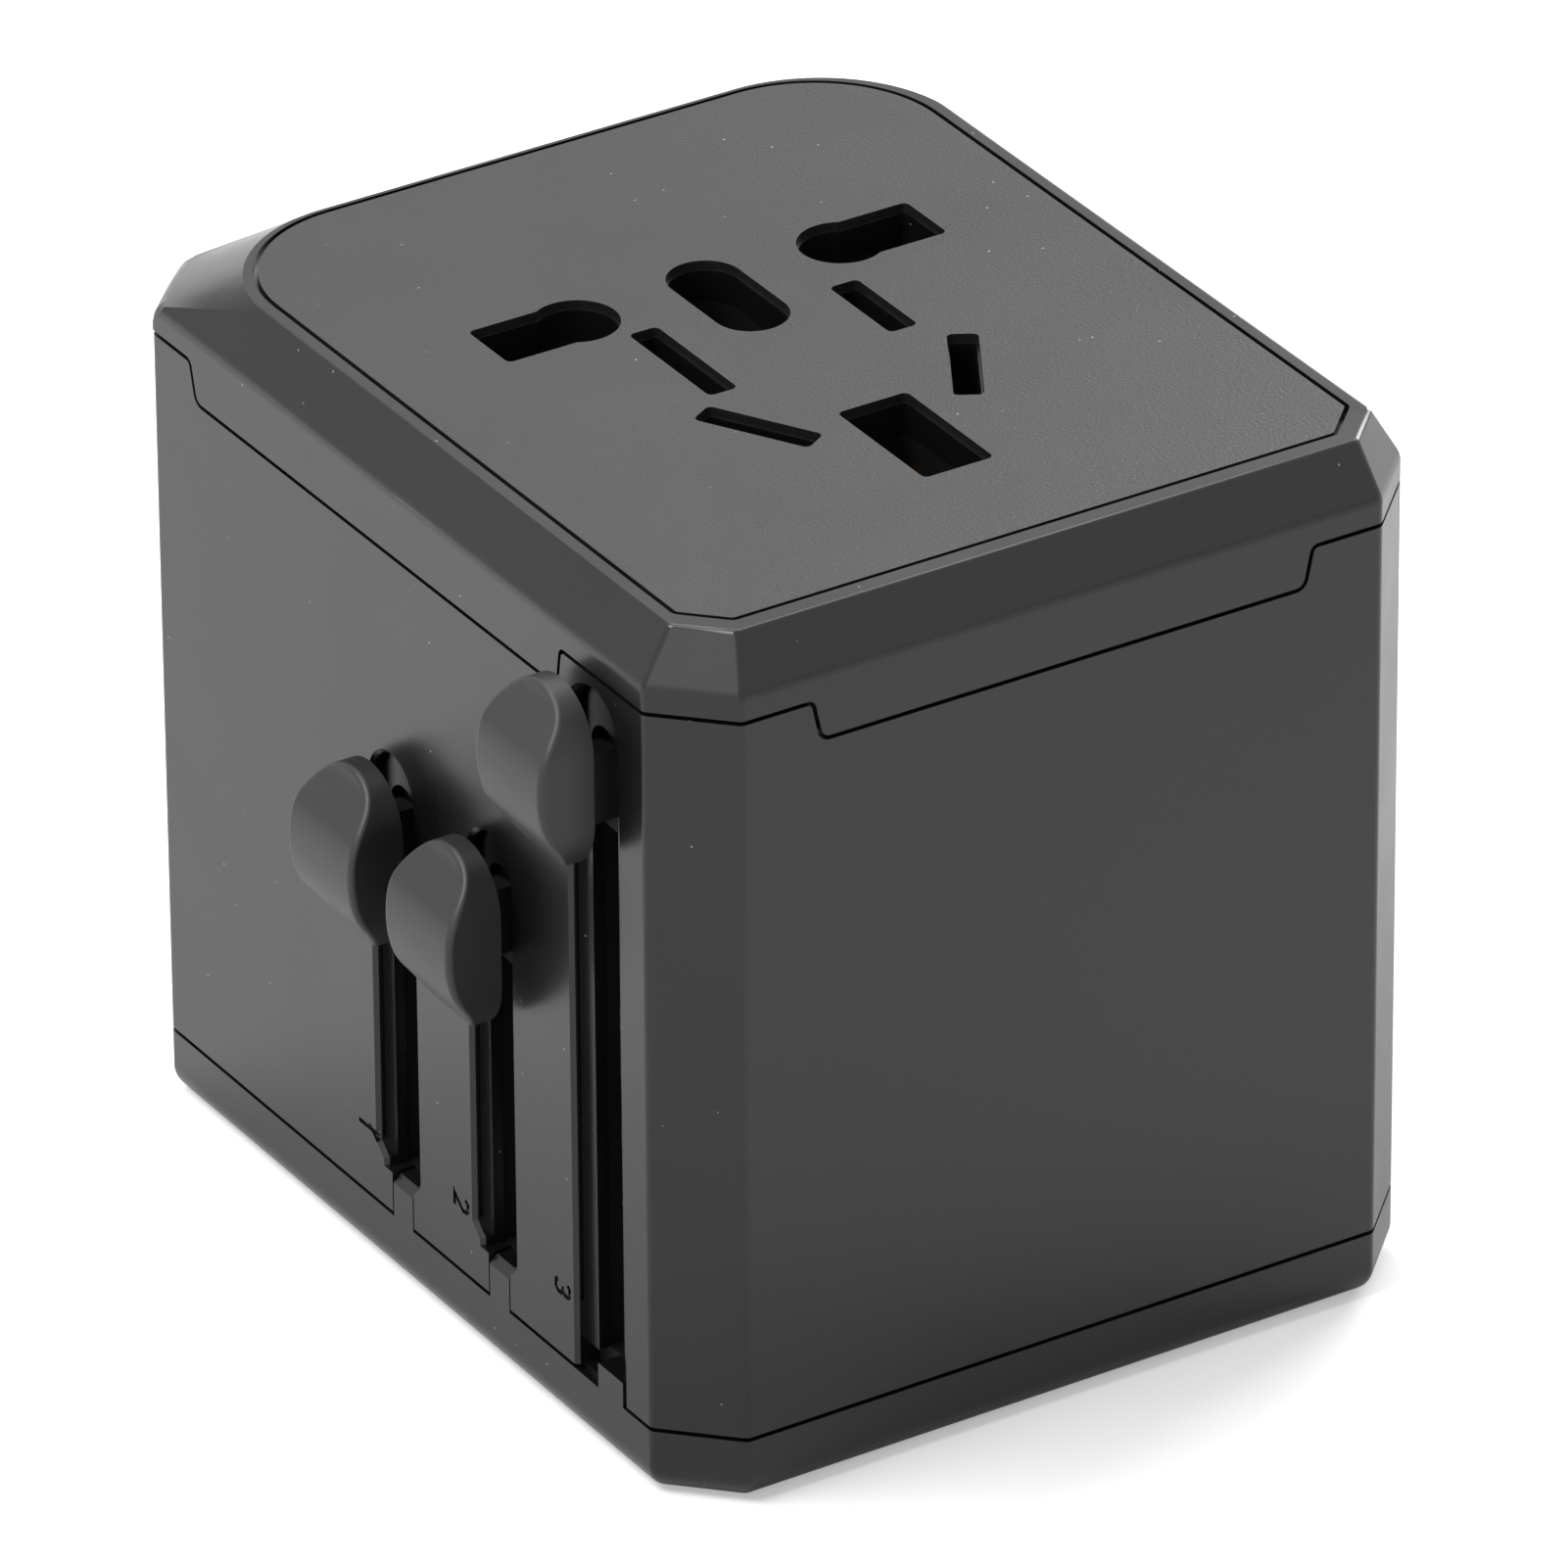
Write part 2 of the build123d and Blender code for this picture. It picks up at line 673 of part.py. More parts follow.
# Sleeve of the body
with BuildPart() as body_shell:
    with BuildSketch(Plane.XY.offset(base_height)):
        Polygon(*outline(0), align=None)
        fillet(vertices(), radius=edge_round)
        Polygon(*outline(body_wall), align=None, mode=Mode.SUBTRACT)
    extrude(amount=parting_height - base_height)
    for x, y in case_screw_places:
        rod(x, y, base_height, base_height + post_height, post_radius)
        x_edges = sorted((x, math.copysign(half_x - body_wall / 2, x)))
        block(
            x_edges[0], x_edges[1], y - post_rib / 2, y + post_rib / 2,
            base_height, base_height + post_height,
        )
    for side in (-1, 1):
        for rib_y in (rib_front_y, rib_rear_y):
            x_edges = sorted((side * rib_inner_x, side * (half_x - body_wall / 2)))
            block(
                x_edges[0], x_edges[1], rib_y - rib_thickness / 2,
                rib_y + rib_thickness / 2, rib_low, board_level,
            )
    for x, y in case_screw_places:
        rod(x, y, base_height, base_height + post_height, screw_radius, mode=Mode.SUBTRACT)
    # Stepped parting line with a fine outer groove
    with BuildSketch(Plane.XZ.offset(-half_y - cut_margin)):
        add(front_notch(0))
    extrude(amount=body_depth + 2 * cut_margin, mode=Mode.SUBTRACT)
    with BuildSketch(Plane.YZ.offset(-half_x - cut_margin)):
        add(side_notch(0))
    extrude(amount=body_width + 2 * cut_margin, mode=Mode.SUBTRACT)
    with BuildSketch(Plane.XZ.offset(-half_y - cut_margin), Plane.XZ.offset(half_y - seam_depth)):
        add(front_notch(seam_gap))
    extrude(amount=cut_margin + seam_depth, mode=Mode.SUBTRACT)
    with BuildSketch(Plane.YZ.offset(-half_x - cut_margin), Plane.YZ.offset(half_x - seam_depth)):
        add(side_notch(seam_gap))
    extrude(amount=cut_margin + seam_depth, mode=Mode.SUBTRACT)
    with BuildSketch(Plane.XY.offset(parting_height - seam_gap)):
        Polygon(*outline(-cut_margin), align=None)
        Polygon(*outline(seam_depth), align=None, mode=Mode.SUBTRACT)
    extrude(amount=seam_gap + cut_margin, mode=Mode.SUBTRACT)
    # Recessed slots of the sliders, each with a narrower slot through its floor
    for row_y, width, top, inner_top, inner_low in slider_rows:
        half = width / 2
        inner = inner_half_width
        with BuildSketch(Plane.YZ.offset(-half_x - cut_margin)):
            if top == short_slot_top:
                low_y = row_y - tongue_shift - tongue_width / 2 - tongue_gap
                high_y = low_y + tongue_width + 2 * tongue_gap
                Polygon(
                    (row_y - half, top - half),
                    (row_y - half, slot_corner_top),
                    (low_y, slot_taper_low),
                    (high_y, slot_taper_low),
                    (row_y + half, slot_taper_top),
                    (row_y + half, top - half),
                    align=None,
                )
            else:
                with Locations((row_y, (top - half + base_height - cut_margin) / 2)):
                    Rectangle(width, top - half - base_height + cut_margin)
            with Locations((row_y, top - half)):
                Circle(half)
        extrude(amount=cut_margin + ledge_depth, mode=Mode.SUBTRACT)
        with BuildSketch(Plane.YZ.offset(-half_x - cut_margin)):
            with Locations((row_y, (inner_top - inner + inner_low) / 2)):
                Rectangle(2 * inner, inner_top - inner - inner_low)
            with Locations((row_y, inner_top - inner)):
                Circle(inner)
            if top == short_slot_top:
                with Locations(((low_y + high_y) / 2, (base_height - cut_margin + slot_taper_low) / 2)):
                    Rectangle(high_y - low_y, slot_taper_low - base_height + cut_margin)
            else:
                with Locations((row_y, (base_height - cut_margin + inner_low) / 2)):
                    Rectangle(width, inner_low - base_height + cut_margin)
        extrude(amount=cut_margin + body_wall + seam_gap, mode=Mode.SUBTRACT)
    # Bevel along the outer edge of each slot, and a fine groove in its wall
    face_edges = body_shell.edges().filter_by(lambda e: e.bounding_box().max.X < fit_gap - half_x)
    for row_y, width, top, inner_top, inner_low in slider_rows:
        half = width / 2
        near = face_edges.filter_by(lambda e: abs(e.center().Y - row_y) < half + fit_gap)
        near = near.filter_by(lambda e: slot_taper_low + fit_gap < e.center().Z < top + fit_gap)
        chamfer(near, length=slot_bevel)
        groove_low = slot_taper_top + slot_bevel
        reach = half + groove_depth
        x_low = groove_start - half_x
        x_high = x_low + groove_width
        block(x_low, x_high, row_y - reach, row_y + reach, groove_low, top - half, Mode.SUBTRACT)
    # Windows for the two sockets and the lamp on the rear face
    window_width = port_width - 2 * port_sheet + 2 * port_window_gap
    window_height = port_height - 2 * port_sheet + 2 * port_window_gap
    with BuildSketch(Plane.XZ.offset(-half_y - cut_margin)):
        for side in (-1, 1):
            with Locations((side * port_x, board_top + port_height / 2)):
                RectangleRounded(window_width, window_height, port_round)
        with Locations((0, lamp_level)):
            Circle(lamp_radius + fit_gap)
    extrude(amount=cut_margin + 2 * body_wall, mode=Mode.SUBTRACT)
    # Engraved marks beside the slots, read downwards
    stroke_shares = {
        uk_slot_y: [[(0.3, 0.8), (0.55, 1), (0.55, 0)]],
        us_slot_y: [[(0.1, 0.8), (0.3, 1), (0.7, 1), (0.9, 0.8), (0.9, 0.6), (0.1, 0), (0.9, 0)]],
        eu_slot_y: [
            [(0.1, 0.85), (0.3, 1), (0.7, 1), (0.9, 0.85), (0.9, 0.65), (0.65, 0.52), (0.4, 0.52)],
            [(0.65, 0.52), (0.9, 0.38), (0.9, 0.16), (0.7, 0), (0.3, 0), (0.1, 0.15)],
        ],
    }
    for row_y, width, top, inner_top, inner_low in slider_rows:
        mark_y = row_y + width / 2 + mark_space
        for stroke in stroke_shares[row_y]:
            points = []
            for across_share, up_share in stroke:
                points.append((mark_y - up_share * mark_height, mark_level - across_share * mark_width))
            with BuildSketch(Plane.YZ.offset(-half_x - cut_margin)):
                with BuildLine():
                    Polyline(*points)
                trace(line_width=mark_stroke)
            extrude(amount=cut_margin + mark_depth, mode=Mode.SUBTRACT)
body_shell.part.label = "body_shell"
export_step(body_shell.part, "parts/body_shell.step")

# Cap with sloped rim, socket floor, tabs of the stepped line and inner spigot
with BuildPart() as top_cap:
    with BuildSketch(Plane.XY.offset(slope_height)):
        add(cap_outline())
    with BuildSketch(Plane.XY.offset(body_height)):
        add(deck(rim_half_width, rim_front, rim_rear, rim_corner, rim_corner_round, rim_round))
    loft(ruled=True)
    with BuildSketch(Plane.XY.offset(parting_height)):
        add(cap_outline())
    extrude(amount=slope_height - parting_height)
    with BuildSketch(Plane.XZ.offset(-half_y), Plane.XZ.offset(half_y - spigot_outer)):
        add(front_notch(0))
    extrude(amount=spigot_outer)
    with BuildSketch(Plane.YZ.offset(-half_x), Plane.YZ.offset(half_x - spigot_outer)):
        add(side_notch(0))
    extrude(amount=spigot_outer)
    with BuildSketch(Plane.XY.offset(notch_height)):
        add(cap_outline())
    extrude(amount=body_height - notch_height, mode=Mode.INTERSECT)
    # Rounded rim along the front and the sides, and a soft crease where the slope begins
    rim_edges = top_cap.edges().group_by(Axis.Z)[-1]
    fillet(rim_edges.filter_by(lambda e: e.center().Y < 0), radius=rim_edge)
    level_edges = top_cap.edges().filter_by(lambda e: e.bounding_box().size.Z < fit_gap)
    fillet(level_edges.filter_by(lambda e: abs(e.center().Z - slope_height) < fit_gap), radius=crease_round)
    with BuildSketch(Plane.XY.offset(spigot_low)):
        Polygon(*outline(spigot_outer), align=None)
    extrude(amount=floor_under - spigot_low)
    with BuildSketch(Plane.XY.offset(spigot_low)):
        Polygon(*outline(spigot_inner), align=None)
    extrude(amount=floor_under - spigot_low, mode=Mode.SUBTRACT)
    slot_edge = wide_slot_width / 2 + slide_gap
    window_low = eu_slot_y - slot_edge
    window_high = eu_slot_y + slot_edge + slide_gap
    window_x = (spigot_outer - half_x, spigot_inner + fit_gap - half_x)
    block(window_x[0], window_x[1], window_low, window_high, spigot_low, parting_height, Mode.SUBTRACT)
    for side in (-1, 1):
        rod(side * boss_x, boss_y, floor_under - boss_length, floor_under, boss_radius)
    with BuildSketch(Plane.XY.offset(plate_under)):
        add(deck(plate_half_width, plate_front, plate_rear, plate_corner, plate_corner_round, plate_round))
        offset(amount=plate_gap / 2, kind=Kind.INTERSECTION)
    extrude(amount=plate_thickness, mode=Mode.SUBTRACT)
    with BuildSketch(Plane.XY.offset(floor_under)):
        add(socket_pattern.sketch)
        offset(amount=-hole_lip)
    extrude(amount=cap_floor, mode=Mode.SUBTRACT)
    for side in (-1, 1):
        rod(side * boss_x, boss_y, floor_under - boss_length, floor_under, screw_radius, mode=Mode.SUBTRACT)
top_cap.part.label = "top_cap"
export_step(top_cap.part, "parts/top_cap.step")

# Face plate of the socket
with BuildPart() as socket_plate:
    with BuildSketch(Plane.XY.offset(plate_under)):
        add(deck(plate_half_width, plate_front, plate_rear, plate_corner, plate_corner_round, plate_round))
        offset(amount=-plate_gap / 2, kind=Kind.INTERSECTION)
        add(socket_pattern.sketch, mode=Mode.SUBTRACT)
    extrude(amount=plate_thickness)
socket_plate.part.label = "socket_plate"
export_step(socket_plate.part, "parts/socket_plate.step")

# Socket contacts, one for each pole, folded from strip
leaf_inner_y = power_row_y - power_leaf_gap - leaf_thickness
leaf_outer_y = power_row_y + power_leaf_gap
strip_outer_x = strip_x + leaf_thickness
contact_names = {-1: "neutral_contact", 1: "line_contact"}
for side in (-1, 1):
    with BuildPart() as power_contact:
        x_edges = sorted((side * power_leaf_inner_x, side * strip_x))
        for leaf_y in (leaf_inner_y, leaf_outer_y):
            block(x_edges[0], x_edges[1], leaf_y, leaf_y + leaf_thickness, contact_low, contact_top)
        x_edges = sorted((side * strip_x, side * strip_outer_x))
        block(x_edges[0], x_edges[1], -strip_front, leaf_outer_y + leaf_thickness, contact_low, contact_top)
        for across in (-1, 1):
            leaf_x = side * blade_slot_x + across * (blade_leaf_gap + leaf_thickness / 2)
            half = leaf_thickness / 2
            block(leaf_x - half, leaf_x + half, -blade_leaf_front, first_web_y, contact_low, contact_top)
        near_x = blade_slot_x - blade_leaf_gap - leaf_thickness
        x_edges = sorted((side * near_x, side * strip_x))
        block(x_edges[0], x_edges[1], first_web_y, first_web_y + leaf_thickness, contact_low, web_top)
        for across in (-1, 1):
            shift = blade_leaf_gap + leaf_thickness / 2
            turn = math.radians(-side * slant_angle)
            leaf_x = side * slant_slot_x + across * shift * math.cos(turn)
            leaf_y = slant_slot_y + across * shift * math.sin(turn)
            upper = (-second_web_y - leaf_thickness / 2 - leaf_y) / math.cos(turn)
            leaf_x = leaf_x - math.sin(turn) * (upper - slant_leaf_half) / 2
            leaf_y = leaf_y + math.cos(turn) * (upper - slant_leaf_half) / 2
            leaf_length = upper + slant_leaf_half
            leaf_middle = (leaf_x, leaf_y, (contact_low + contact_top) / 2)
            with Locations(Location(leaf_middle, (0, 0, -side * slant_angle))):
                Box(leaf_thickness, leaf_length, contact_top - contact_low)
        x_edges = sorted((side * slant_slot_x, side * strip_x))
        block(x_edges[0], x_edges[1], -second_web_y - leaf_thickness, -second_web_y, contact_low, web_top)
    power_contact.part.label = contact_names[side]
    export_step(power_contact.part, "parts/" + contact_names[side] + ".step")

with BuildPart() as earth_contact:
    for side in (-1, 1):
        x_edges = sorted((side * earth_leaf_gap, side * (earth_leaf_gap + leaf_thickness)))
        leaf_front = earth_hole_y - earth_leaf_half
        block(x_edges[0], x_edges[1], leaf_front, -earth_web_y, contact_low, contact_top)
    web_left = -earth_leaf_gap - leaf_thickness
    block(web_left, earth_web_reach, -earth_web_y, leaf_thickness - earth_web_y, contact_low, web_top)
    block(
        earth_strip_x, earth_web_reach, -earth_web_y,
        leaf_thickness - earth_web_y, earth_strip_low, contact_low,
    )
earth_contact.part.label = "earth_contact"
export_step(earth_contact.part, "parts/earth_contact.step")

# Insulating block around the contacts
with BuildPart() as contact_carrier:
    block(-carrier_half_width, carrier_half_width, -carrier_front, carrier_rear, carrier_low, floor_under)
    for side in (-1, 1):
        x_edges = sorted((side * carrier_half_width, side * (carrier_half_width + ear_reach)))
        ear_low = floor_under - boss_length - ear_thickness
        block(
            x_edges[0], x_edges[1], boss_y - ear_half_width,
            boss_y + ear_half_width, ear_low, ear_low + ear_thickness,
        )
    with BuildSketch(Plane.XY.offset(carrier_low)):
        add(socket_pattern.sketch)
        offset(amount=-hole_lip)
    extrude(amount=floor_under - carrier_low, mode=Mode.SUBTRACT)
    cell_low = carrier_low
    cell_top = contact_top
    for side in (-1, 1):
        x_edges = sorted((side * (power_leaf_inner_x - cell_gap), side * strip_x))
        block(
            x_edges[0], x_edges[1], leaf_inner_y, leaf_outer_y + leaf_thickness,
            cell_low, cell_top, Mode.SUBTRACT,
        )
        x_edges = sorted((side * strip_x, side * (strip_outer_x + cell_gap)))
        strip_rear = leaf_outer_y + leaf_thickness + cell_gap
        block(x_edges[0], x_edges[1], -strip_front - cell_gap, strip_rear, cell_low, cell_top, Mode.SUBTRACT)
        cell_x = side * blade_slot_x
        cell_half = blade_leaf_gap + leaf_thickness + cell_gap
        cell_front = -blade_leaf_front - cell_gap
        x_edges = (cell_x - cell_half, cell_x + cell_half)
        block(x_edges[0], x_edges[1], cell_front, first_web_y, cell_low, cell_top, Mode.SUBTRACT)
        near_x = blade_slot_x - cell_half
        x_edges = sorted((side * near_x, side * strip_x))
        web_rear = first_web_y + leaf_thickness + cell_gap
        block(x_edges[0], x_edges[1], first_web_y, web_rear, cell_low, web_top + cell_gap, Mode.SUBTRACT)
        turn = math.radians(slant_angle)
        shift = blade_leaf_gap + leaf_thickness
        upper = (-second_web_y - slant_slot_y + shift * math.sin(turn)) / math.cos(turn) + cell_gap
        lower = slant_leaf_half + cell_gap
        cell_x = side * (slant_slot_x + math.sin(turn) * (upper - lower) / 2)
        cell_y = slant_slot_y + math.cos(turn) * (upper - lower) / 2
        with Locations(Location((cell_x, cell_y, (cell_low + cell_top) / 2), (0, 0, -side * slant_angle))):
            Box(2 * cell_half, upper + lower, cell_top - cell_low, mode=Mode.SUBTRACT)
        x_edges = sorted((side * (slant_slot_x - cell_gap), side * strip_x))
        web_front = -second_web_y - leaf_thickness - cell_gap
        block(
            x_edges[0], x_edges[1], web_front, cell_gap - second_web_y,
            cell_low, web_top + cell_gap, Mode.SUBTRACT,
        )
        x_edges = sorted((side * strip_x, side * (carrier_half_width + cut_margin)))
        tab_low = rail_front + rail_tab_margin - cell_gap
        tab_high = rail_front + rail_width - rail_tab_margin + cell_gap
        block(x_edges[0], x_edges[1], tab_low, tab_high, cell_low, rail_tab_high, Mode.SUBTRACT)
    earth_cell = earth_leaf_gap + leaf_thickness + cell_gap
    earth_front = earth_hole_y - earth_leaf_half - cell_gap
    block(-earth_cell, earth_cell, earth_front, -earth_web_y, cell_low, cell_top, Mode.SUBTRACT)
    web_reach = earth_web_reach + cell_gap
    web_rear = leaf_thickness - earth_web_y + cell_gap
    block(-earth_cell, web_reach, -earth_web_y, web_rear, cell_low, web_top, Mode.SUBTRACT)
    for side in (-1, 1):
        ear_low = floor_under - boss_length - ear_thickness
        rod(side * boss_x, boss_y, ear_low, ear_low + ear_thickness, screw_radius, mode=Mode.SUBTRACT)
contact_carrier.part.label = "contact_carrier"
export_step(contact_carrier.part, "parts/contact_carrier.step")

# Rails that lead from the contacts down to the sliders
rail_names = {-1: "neutral_rail", 1: "line_rail"}
for side in (-1, 1):
    with BuildPart() as power_rail:
        x_edges = sorted((side * rail_x, side * (rail_x + rail_thickness)))
        block(x_edges[0], x_edges[1], rail_front, rail_front + rail_width, base_floor, rail_tab_high)
        x_edges = sorted((side * strip_outer_x, side * rail_x))
        tab_low = rail_front + rail_tab_margin
        tab_high = rail_front + rail_width - rail_tab_margin
        block(x_edges[0], x_edges[1], tab_low, tab_high, rail_tab_low, rail_tab_high)
        x_edges = sorted((side * rail_x, side * (rail_x + rail_thickness)))
        solder_low = rail_front + rail_width
        solder_high = board_top + rail_thickness
        block(x_edges[0], x_edges[1], solder_low, solder_low + rail_solder_length, board_top, solder_high)
    power_rail.part.label = rail_names[side]
    export_step(power_rail.part, "parts/" + rail_names[side] + ".step")

with BuildPart() as earth_rail:
    strip_high = earth_strip_low + earth_strip_thickness
    block(
        earth_strip_x, earth_web_reach, leaf_thickness - earth_web_y,
        earth_drop_rear, earth_strip_low, strip_high,
    )
    drop_x = earth_drop_x + earth_strip_thickness
    block(earth_drop_x, drop_x, earth_drop_front, earth_drop_rear, base_floor, earth_strip_low)
earth_rail.part.label = "earth_rail"
export_step(earth_rail.part, "parts/earth_rail.step")

# Guide plate behind the slider face
with BuildPart() as slider_guide:
    block(guide_front_x, guide_back_x, -guide_front, guide_rear, base_floor, guide_top)
    half = inner_half_width + guide_slot_extra
    for row_y, width, top, inner_top, inner_low in slider_rows:
        slot_high = min(inner_top + guide_slot_extra, guide_top + cut_margin)
        block(guide_front_x, guide_back_x, row_y - half, row_y + half, inner_low, slot_high, Mode.SUBTRACT)
slider_guide.part.label = "slider_guide"
export_step(slider_guide.part, "parts/slider_guide.step")

# Screws
with BuildPart() as case_screws:
    for x, y in case_screw_places:
        rod(x, y, 0, screw_head_height, screw_head_radius)
        rod(x, y, 0, screw_length, screw_radius)
        half = screw_slot_width / 2
        reach = screw_head_radius
        block(x - half, x + half, y - reach, y + reach, 0, screw_slot_depth, Mode.SUBTRACT)
        block(x - reach, x + reach, y - half, y + half, 0, screw_slot_depth, Mode.SUBTRACT)
case_screws.part.label = "case_screws"
export_step(case_screws.part, "parts/case_screws.step")

with BuildPart() as carrier_screws:
    head_high = floor_under - boss_length - ear_thickness
    for side in (-1, 1):
        x = side * boss_x
        rod(x, boss_y, head_high - screw_head_height, head_high, screw_head_radius)
        rod(x, boss_y, head_high, floor_under - cap_floor / 2, screw_radius)
        half = screw_slot_width / 2
        low = head_high - screw_head_height
        high = low + screw_slot_depth
        reach = screw_head_radius
        block(x - reach, x + reach, boss_y - half, boss_y + half, low, high, Mode.SUBTRACT)
carrier_screws.part.label = "carrier_screws"
export_step(carrier_screws.part, "parts/carrier_screws.step")

# Supply board with its parts
with BuildPart() as converter_board:
    block(-board_half_width, board_half_width, board_front, board_rear, board_level, board_top)
converter_board.part.label = "converter_board"
export_step(converter_board.part, "parts/converter_board.step")

fuse_level = board_top + fuse_axis_rise
with BuildPart() as fuse_tube:
    with Locations(Location((fuse_x, fuse_y, fuse_level), (0, 90, 0))):
        Cylinder(fuse_radius - fuse_cap_wall, 2 * fuse_half_length - 2 * fuse_cap_wall)
        Cylinder(fuse_radius - fuse_cap_wall - fuse_wall, 2 * fuse_half_length, mode=Mode.SUBTRACT)
fuse_tube.part.label = "fuse_tube"
export_step(fuse_tube.part, "parts/fuse_tube.step")

with BuildPart() as fuse_caps:
    with Locations(Location((fuse_x, fuse_y, fuse_level), (0, 90, 0))):
        Cylinder(fuse_radius, 2 * fuse_half_length)
        Cylinder(fuse_radius - fuse_cap_wall, 2 * fuse_half_length - 2 * fuse_cap_wall, mode=Mode.SUBTRACT)
        Cylinder(2 * fuse_radius, 2 * fuse_half_length - 2 * fuse_cap_length, mode=Mode.SUBTRACT)
fuse_caps.part.label = "fuse_caps"
export_step(fuse_caps.part, "parts/fuse_caps.step")

with BuildPart() as fuse_clips:
    for side in (-1, 1):
        clip_x = fuse_x + side * (fuse_half_length - fuse_cap_length / 2)
        low_x = clip_x - clip_width / 2
        high_x = clip_x + clip_width / 2
        outer = fuse_radius + clip_thickness
        low = board_top + clip_thickness
        high = board_top + clip_rise
        block(low_x, high_x, fuse_y - outer, fuse_y + outer, board_top, high)
        block(low_x, high_x, fuse_y - fuse_radius, fuse_y + fuse_radius, low, high, Mode.SUBTRACT)
fuse_clips.part.label = "fuse_clips"
export_step(fuse_clips.part, "parts/fuse_clips.step")

core_half_x = core_width / 2
core_half_y = core_depth / 2
inner_half = core_half_x - core_leg
with BuildPart() as transformer_core:
    core_low_y = core_y - core_half_y
    core_high_y = core_y + core_half_y
    core_top = board_top + core_height
    block(core_x - core_half_x, core_x + core_half_x, core_low_y, core_high_y, board_top, core_top)
    window_low = board_top + core_leg / 2
    window_high = core_top - core_leg / 2
    for side in (-1, 1):
        x_edges = sorted((core_x + side * core_leg / 2, core_x + side * inner_half))
        block(x_edges[0], x_edges[1], core_low_y, core_high_y, window_low, window_high, Mode.SUBTRACT)
transformer_core.part.label = "transformer_core"
export_step(transformer_core.part, "parts/transformer_core.step")

with BuildPart() as transformer_winding:
    reach_x = inner_half - winding_gap
    reach_y = core_half_y + winding_depth_extra
    block(core_x - reach_x, core_x + reach_x, core_y - reach_y, core_y + reach_y, window_low, window_high)
    leg_half = core_leg / 2
    block(
        core_x - leg_half, core_x + leg_half, core_low_y, core_high_y,
        window_low, window_high, Mode.SUBTRACT,
    )
transformer_winding.part.label = "transformer_winding"
export_step(transformer_winding.part, "parts/transformer_winding.step")

with BuildPart() as filter_capacitors:
    for index in (0, 1):
        filter_y = filter_front_y + index * filter_pitch
        rod(filter_x, filter_y, board_top, board_top + filter_foot, filter_radius - filter_foot / 2)
        rod(filter_x, filter_y, board_top + filter_foot, board_top + filter_height, filter_radius)
    fillet(filter_capacitors.edges().group_by(Axis.Z)[-1], radius=filter_foot)
filter_capacitors.part.label = "filter_capacitors"
export_step(filter_capacitors.part, "parts/filter_capacitors.step")

with BuildPart() as bridge_chip:
    with Locations((bridge_x, bridge_y, board_top + bridge_height / 2)):
        Box(bridge_width, bridge_depth, bridge_height)
bridge_chip.part.label = "bridge_chip"
export_step(bridge_chip.part, "parts/bridge_chip.step")

with BuildPart() as usb_shells:
    for side in (-1, 1):
        centre = side * port_x
        half_w = port_width / 2
        block(centre - half_w, centre + half_w, port_front, port_rear, board_top, board_top + port_height)
        half_w = port_width / 2 - port_sheet
        low = board_top + port_sheet
        high = board_top + port_height - port_sheet
        block(centre - half_w, centre + half_w, port_front + port_sheet, port_rear, low, high, Mode.SUBTRACT)
usb_shells.part.label = "usb_shells"
export_step(usb_shells.part, "parts/usb_shells.step")

with BuildPart() as usb_tongues:
    for side in (-1, 1):
        centre = side * port_x
        low = board_top + port_sheet
        high = board_top + port_height - port_sheet
        root = port_front + port_sheet
        half_w = port_width / 2 - port_sheet
        base_rear = port_rear - port_tongue_length
        block(centre - half_w, centre + half_w, root, base_rear, low, high)
        tongue_y = port_rear - port_sheet
        x_low = centre - port_tongue_half
        x_high = centre + port_tongue_half
        block(x_low, x_high, base_rear, tongue_y, high - port_tongue_thickness, high)
usb_tongues.part.label = "usb_tongues"
export_step(usb_tongues.part, "parts/usb_tongues.step")

with BuildPart() as lamp_lens:
    inner_y = half_y - body_wall
    with Locations(Location((0, (inner_y + half_y) / 2, lamp_level), (90, 0, 0))):
        Cylinder(lamp_radius, body_wall)
    with Locations(Location((0, inner_y - lamp_flange_thickness / 2, lamp_level), (90, 0, 0))):
        Cylinder(lamp_flange, lamp_flange_thickness)
lamp_lens.part.label = "lamp_lens"
export_step(lamp_lens.part, "parts/lamp_lens.step")

